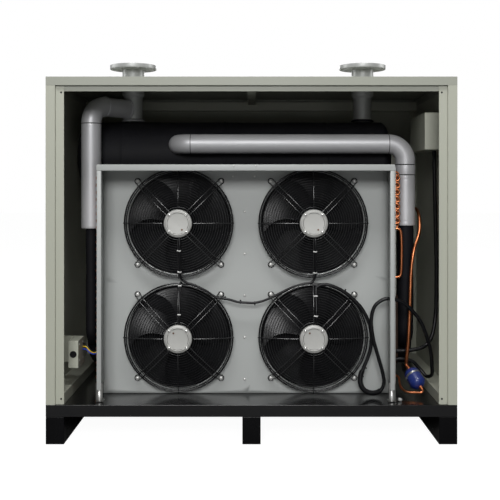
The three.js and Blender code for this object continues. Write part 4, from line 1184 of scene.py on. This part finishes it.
# Past the rim the lead swells into the bundle, and where that hangs lowest it wears the corrugated tube.
LEAD_R, BUNDLE_MORE, SLEEVE_R, RIB, RIB_PITCH, SLEEVE_STEPS = 0.0060, 0.0024, 0.0118, 0.0010, 0.0052, 420
SWELL_FROM, SWELL_OVER, SLEEVE_BELOW, SLEEVE_LEFT_OF = 0.05, 0.12, 0.292, 0.592
share = np.linspace(0, 1, len(lower_line))
thickness = LEAD_R + BUNDLE_MORE * np.clip((share - SWELL_FROM) / SWELL_OVER, 0, 1)
low_part = np.flatnonzero((lower_line[:, 2] < SLEEVE_BELOW) & (lower_line[:, 0] < SLEEVE_LEFT_OF))
sleeve_line = routed_line(lower_line[low_part[0]:low_part[-1]:4], SLEEVE_STEPS)
sleeve_length = np.linalg.norm(np.diff(sleeve_line, axis=0), axis=1).sum()
ribs = SLEEVE_R + RIB * np.sin(np.linspace(0, 2 * np.pi * sleeve_length / RIB_PITCH, SLEEVE_STEPS))
cable("lower_fan_lead", "fan_cable_lower", lower_line, thickness, [swept_grid(sleeve_line, ribs, 22)])
cable("wall_lead", "supply_cable", routed_line([
    (0.869, -0.150, 1.2974), (0.870, -0.152, 1.200), (0.873, -0.156, 1.000), (0.876, -0.162, 0.820),
    (0.875, -0.170, 0.657), (0.870, -0.180, 0.529), (0.848, -0.200, 0.425), (0.822, -0.212, 0.388),
    (0.790, -0.222, 0.372), (0.745, -0.226, 0.364), (0.705, -0.226, 0.360), (0.676, -0.226, 0.360),
    (0.669, -0.226, 0.360),
], 200), 0.0090)
black_ties = []
for line, radius, station, side in (
    (lower_line, 0.0085, 0.155, (1, 0, 1)), (lower_line, 0.0085, 0.255, (1, 0, 0.4)),
    (lower_line, 0.0085, 0.285, (1, 0, 0)), (lower_line, 0.0085, 0.345, (1, 0, -0.5)),
    (lower_line, 0.0085, 0.366, (1, 0, -0.8)), (upper_line, 0.0056, 0.40, (0.3, 0, 1)),
    (upper_line, 0.0056, 0.47, (0.2, 0, 1)), (upper_line, 0.0056, 0.53, (0, 0, -1)),
):
    black_ties += tie_grids(line, station, radius, side)
piece_from_grids("black_cable_ties", black_ties, jacket, smooth=40)
nylon = finish_of("white_nylon", (0.72, 0.72, 0.70), 0.35, mottle=0.1, dust=0.0, scale=40)
white_ties = []
for line, radius, stations in ((upper_line, 0.0056, (0.060, 0.155, 0.845, 0.940)),
                               (left_line, 0.0046, (0.25, 0.90)), (lower_line, 0.0066, (0.022, 0.066))):
    for station in stations:
        white_ties += tie_grids(line, station, radius, (-1, -0.4, 0))
piece_from_grids("white_cable_ties", white_ties, nylon, smooth=40)
